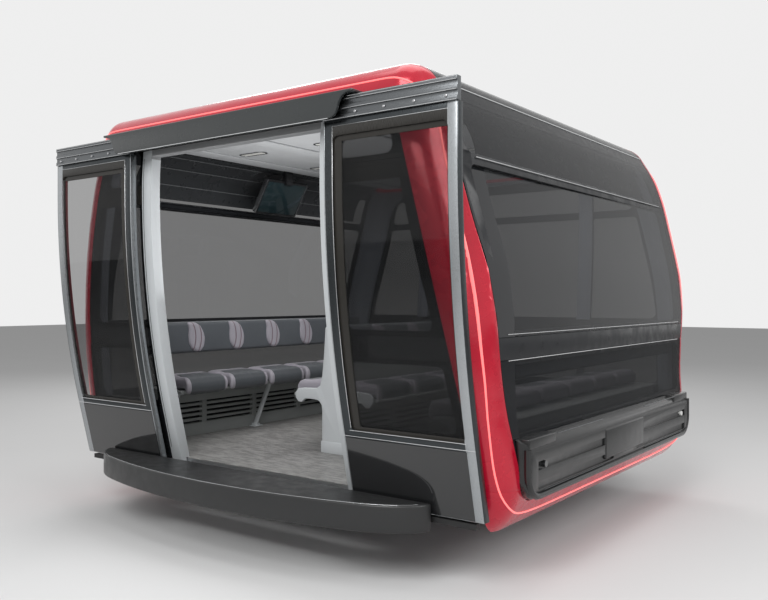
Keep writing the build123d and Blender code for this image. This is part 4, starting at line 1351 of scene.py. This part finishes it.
class CABIN_OT_bench_frames(bpy.types.Operator):
    """Round the bench bases and legs, and shape the middle bench's end panel"""

    bl_idname = "cabin.bench_frames"
    bl_label = "Bench frames"

    def execute(self, context):
        low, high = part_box("bench_base_right")
        start, reach, back = low.y, high.y - 0.087, high.x - 0.004
        parts = bench_box("bench_base_right", (GRILLE_FRONT + 0.006, back), (GRILLE_FRONT, back), reach)
        parts += grille(GRILLE_FRONT, start, reach)
        base = join("bench_base", [round_edges(part, 0.0025, 2) for part in parts])
        seat_sides(base, "bench_base_{}_dressed", "cabin", "bench_grey", ("bench_base_{}",))
        span = (GRILLE_FRONT + 0.038, high.x - 0.01)
        # a black block fills the space behind the end benches' grilles with painted shade
        shade_block = bench_pocket("bench_pocket", "bench_base_right", span, reach)
        seat_sides(shade_block, "bench_pocket_{}", "cabin", "seal_rubber")
        start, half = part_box("centre_bench_base")[0].y, 0.099
        parts = bench_box("centre_bench_base", (-0.096, 0.096), (-half, half), reach)
        parts += grille(half, start, reach, -1) + grille(-half, start, reach)
        base = join("pedestal", [round_edges(part, 0.0025, 2) for part in parts])
        seat(base, "cabin", "bench_grey", ("centre_bench_base",))
        # a black block fills the space behind the middle bench's grilles with painted shade
        shade_block = bench_pocket("pedestal_pocket", "centre_bench_base", (-0.062, 0.062), reach)
        seat(shade_block, "cabin", "seal_rubber")
        legs = []
        for y in (-1.165, -0.165, 0.82):
            shank = rod("leg_shank", at(1.225, y, 0.392), at(1.4, y, 0.014), 0.016, 1.4)
            foot = block("leg_foot", at(1.362, y - 0.052, 0), at(1.428, y + 0.052, 0.008))
            collar = block("leg_collar", at(1.376, y - 0.03, 0.006), at(1.418, y + 0.03, 0.026))
            head = block("leg_head", at(1.19, y - 0.032, 0.376), at(1.26, y + 0.032, 0.394))
            round_edges(foot, 0.0035, 3)
            round_edges(collar, 0.006, 3)
            round_edges(head, 0.004, 2)
            legs += [shank, foot, collar, head]
        legs = join("bench_legs_right", legs)
        seat(copy(legs, MIRROR_X, "bench_legs_left"), "cabin", "jamb_silver")
        seat(legs, "cabin", "jamb_silver", ("bench_legs",))
        low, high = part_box("centre_bench_panel")
        nose = 0.36
        right = [  # x and height, from the floor round the seat's nose to the back rest's top
            (0.112, 0.0), (0.104, 0.03), (0.1, 0.09), (0.1, 0.30), (0.107, 0.345), (0.13, 0.372),
            (0.17, 0.38), (nose - 0.095, 0.381), (nose - 0.082, 0.37), (nose - 0.06, 0.352),
            (nose - 0.025, 0.354), (nose, 0.385), (nose - 0.002, 0.425), (nose - 0.025, 0.452),
            (nose - 0.08, 0.46), (0.155, 0.464), (0.12, 0.485), (0.1, 0.56), (0.084, 0.7),
            (0.074, 0.84), (0.07, 0.905), (0.055, 0.92),
        ]
        outline = mirrored([at(x, low.y, z) for x, z in right], MIRROR_X)
        panel = plate("centre_panel", outline, Vector((0, high.y - low.y - 0.001, 0)))
        round_edges(panel, 0.007, 4, 25)
        seat(panel, "cabin", "jamb_silver", ("centre_bench_panel",))
        kick = block("centre_kick", at(-0.108, low.y - 0.003, 0.001), at(0.108, low.y + 0.01, 0.085))
        round_edges(kick, 0.003, 2)
        seat(kick, "cabin", "jamb_silver")
        return {"FINISHED"}


# ---- ceiling, monitor and roof frame ------------------------------------------------------------
def slot_outline(length, width, steps=10):
    """Points round an oblong with half-round ends, in X and Y."""
    reach, radius = (length - width) / 2, width / 2
    made = []
    for side in (1, -1):
        for step in range(steps + 1):
            angle = -math.pi / 2 + math.pi * step / steps
            point = Vector((reach + radius * math.cos(angle), radius * math.sin(angle), 0))
            made.append(side * point)
    return made


class CABIN_OT_ceiling_lamps(bpy.types.Operator):
    """Ring each ceiling lamp with a bezel"""

    bl_idname = "cabin.ceiling_lamps"
    bl_label = "Ceiling lamps"

    def execute(self, context):
        drop = Vector((0, 0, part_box("ceiling_panel")[0].z - 0.007))
        ring = chain("lamp_ring", [point + drop for point in slot_outline(0.268, 0.098)])
        open_edit()
        bpy.ops.mesh.edge_face_add()
        bpy.ops.mesh.inset(thickness=0.016)
        bpy.ops.mesh.delete(type="FACE")
        extrude(Vector((0, 0, 0.0075)))
        turn_faces()
        close_edit()
        round_edges(ring, 0.002, 2)
        places = itertools.product((-0.76, 0, 0.76), (-0.82, 0, 0.82))
        rings = [copy(ring, Matrix.Translation((x, y, 0))) for x, y in places]
        bpy.data.objects.remove(ring)
        seat(join("lamp_rings", rings), "cabin", "trim_aluminium")
        return {"FINISHED"}


class CABIN_OT_monitor(bpy.types.Operator):
    """Make the monitor with its screen and side trims"""

    bl_idname = "cabin.monitor"
    bl_label = "Monitor"

    def execute(self, context):
        tilt = math.radians(30)
        place = Matrix.Translation(at(-1.255, 0, 2.01)) @ Matrix.Rotation(tilt, 4, "Y")
        case = block("monitor_case", (-0.024, -0.25, -0.16), (0.02, 0.25, 0.16))
        round_edges(case, 0.007, 4)
        screen = block("monitor_screen", (0.018, -0.232, -0.142), (0.0215, 0.232, 0.142))
        round_edges(screen, 0.001, 2)
        trims = []
        for y in (-0.2495, 0.2495):
            trim = block("trim", (-0.018, y - 0.004, -0.155), (0.0225, y + 0.004, 0.155))
            trims.append(round_edges(trim, 0.0025, 2))
        trims = join("monitor_trims", trims)
        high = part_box("monitor")[1]
        stem = block("monitor_stem", (high.x - 0.040, -0.04, high.z - 0.125), (high.x, 0.04, high.z))
        round_edges(stem, 0.004, 2)
        for piece in (case, screen, trims):
            piece.data.transform(place)
        seat(join("monitor_dressed", [case, stem]), "cabin", "monitor_black", ("monitor",))
        seat(screen, "cabin", "screen_glass")
        seat(trims, "cabin", "trim_aluminium")
        return {"FINISHED"}


class CABIN_OT_hanger_frame(bpy.types.Operator):
    """Round the roof frame and bolt its feet down"""

    bl_idname = "cabin.hanger_frame"
    bl_label = "Hanger frame"

    def execute(self, context):
        hanger = round_edges(from_node("hanger_frame_dressed", "hanger_frame", 0), 0.003, 2)
        seat(hanger, "cabin", "frame_steel", ("hanger_frame",))
        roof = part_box("roof_shell")[1].z
        bolts = []
        across = [foot + side * 0.055 for foot in (-0.56, 0.56) for side in (-1, 1)]
        along = [foot + side * 0.055 for foot in (-1.075, 1.075) for side in (-1, 1)]
        for x, y in itertools.product(across, along):
            washer = cylinder("washer", (x, y, roof + 0.0235), 0.014, 0.003)
            head = cylinder("bolt", (x, y, roof + 0.031), 0.0105, 0.012, sides=6)
            bolts += [washer, round_edges(head, 0.0012, 1)]
        seat(join("foot_bolts", bolts), "cabin", "screw_steel")
        return {"FINISHED"}


# ---- stage --------------------------------------------------------------------------------------
def area_light(name, place, size, power):
    """Add a square light that shines downwards."""
    bpy.ops.object.light_add(type="AREA", location=place)
    light = bpy.context.object
    light.name = f"light_{name}"
    light.data.size, light.data.energy = size, power
    return light


class CABIN_OT_stage(bpy.types.Operator):
    """Set the pale floor, the soft lights, the world and the camera"""

    bl_idname = "cabin.stage"
    bl_label = "Stage"

    def execute(self, context):
        scene = context.scene
        deselect()
        bpy.ops.mesh.primitive_plane_add(size=80, location=(0, 0, CAD_LOW.z - 0.3))
        ground = name_piece(bpy.context.object, "stage_floor")
        settle()
        tone = Finish("stage_pale", Roughness=1.0, Specular_IOR_Level=0.0)
        tone.send("Base Color", tone.blend(tone.noise(1.0), (0.7, 0.7, 0.7), (0.72, 0.72, 0.72)))
        ground.data.materials.append(FINISHES["stage_pale"])
        for name, place, aim, size, power in (
            ("key", (2.5, -7.5, 3.2), (0, 0, -1.2), 4.5, 420),
            ("fill", (7.5, -1.5, 2.0), (0, 0, -1.2), 4.0, 260),
            ("top", (0, 0, 6.0), (0, 0, 0), 6.0, 170),
            ("back", (-6, 6, 3.5), (0, 0, -1), 4.5, 240),
        ):
            light = area_light(name, place, size, power)
            light.rotation_euler = (Vector(aim) - Vector(place)).to_track_quat("-Z", "Y").to_euler()
        cabin = area_light("cabin", at(0, 0, 2.18), 2.2, 44)
        cabin.data.shape, cabin.data.size_y = "RECTANGLE", 2.8
        ceiling = area_light("ceiling", at(0, -1.0, 1.1), 1.3, 15)
        ceiling.rotation_euler = (math.pi, 0, 0)
        for light in (cabin, ceiling):
            light.visible_camera = light.visible_glossy = False
        world = bpy.data.worlds.new("studio")
        scene.world = world
        world.use_nodes = True
        tree = world.node_tree
        back = tree.nodes["Background"]
        rays = tree.nodes.new("ShaderNodeLightPath")

        def pick_level(output, low, high):
            """One level, or another where a ray is of the given kind."""
            step = tree.nodes.new("ShaderNodeMapRange")
            tree.links.new(output, step.inputs["Value"])
            for label, value in (("To Min", low), ("To Max", high)):
                if isinstance(value, float):
                    step.inputs[label].default_value = value
                else:
                    tree.links.new(value, step.inputs[label])
            return step.outputs[0]

        level, seen = 0.38, 0.86  # strength of the world's light, and its brightness where it is seen
        for kind in ("Is Transmission Ray", "Is Glossy Ray", "Is Camera Ray"):
            level = pick_level(rays.outputs[kind], level, seen)
        tree.links.new(level, back.inputs["Strength"])
        back.inputs["Color"].default_value = (1, 1, 1, 1)
        turn = math.radians(36.4)
        bpy.ops.object.camera_add(location=at(3.811, -5.325, 1.123), rotation=(math.pi / 2, 0, turn))
        camera = bpy.context.object
        camera.data.lens, camera.data.sensor_width = 38.564, 36.0
        camera.data.shift_y = -2 / 768
        scene.camera = camera
        scene.view_settings.view_transform = "Standard"
        return {"FINISHED"}


PIECES = (
    CABIN_OT_finishes,
    CABIN_OT_body_panels,
    CABIN_OT_pillar_covers,
    CABIN_OT_light_strip,
    CABIN_OT_end_trims,
    CABIN_OT_coves,
    CABIN_OT_door_header,
    CABIN_OT_sill_bar,
    CABIN_OT_bumpers,
    CABIN_OT_door_leaves,
    CABIN_OT_seat_cushions,
    CABIN_OT_back_rests,
    CABIN_OT_bench_frames,
    CABIN_OT_ceiling_lamps,
    CABIN_OT_monitor,
    CABIN_OT_hanger_frame,
    CABIN_OT_stage,
)


class CABIN_PT_panel(bpy.types.Panel):
    """Lists the cabin's pieces with their sizes and colours"""

    bl_idname = "CABIN_PT_panel"
    bl_label = "Cable Car Cabin"
    bl_space_type = "VIEW_3D"
    bl_region_type = "UI"
    bl_category = "Cabin"

    def draw(self, context):
        layout = self.layout
        for group in (context.scene.cabin_sizes, context.scene.cabin_colours):
            for key in group.__annotations__:
                layout.prop(group, key)
        for piece in PIECES:
            layout.operator(piece.bl_idname)


CLASSES = (CabinSizes, CabinColours, *PIECES, CABIN_PT_panel)


def register():
    for cls in CLASSES:
        bpy.utils.register_class(cls)
    bpy.types.Scene.cabin_sizes = PointerProperty(type=CabinSizes)
    bpy.types.Scene.cabin_colours = PointerProperty(type=CabinColours)


def unregister():
    del bpy.types.Scene.cabin_colours
    del bpy.types.Scene.cabin_sizes
    for cls in reversed(CLASSES):
        bpy.utils.unregister_class(cls)


def main():
    """Make every piece in order."""
    register()
    for piece in PIECES:
        group, name = piece.bl_idname.split(".")
        getattr(getattr(bpy.ops, group), name)()
    bpy.data.objects.remove(bpy.data.objects["cage"])


if __name__ == "__main__":
    main()
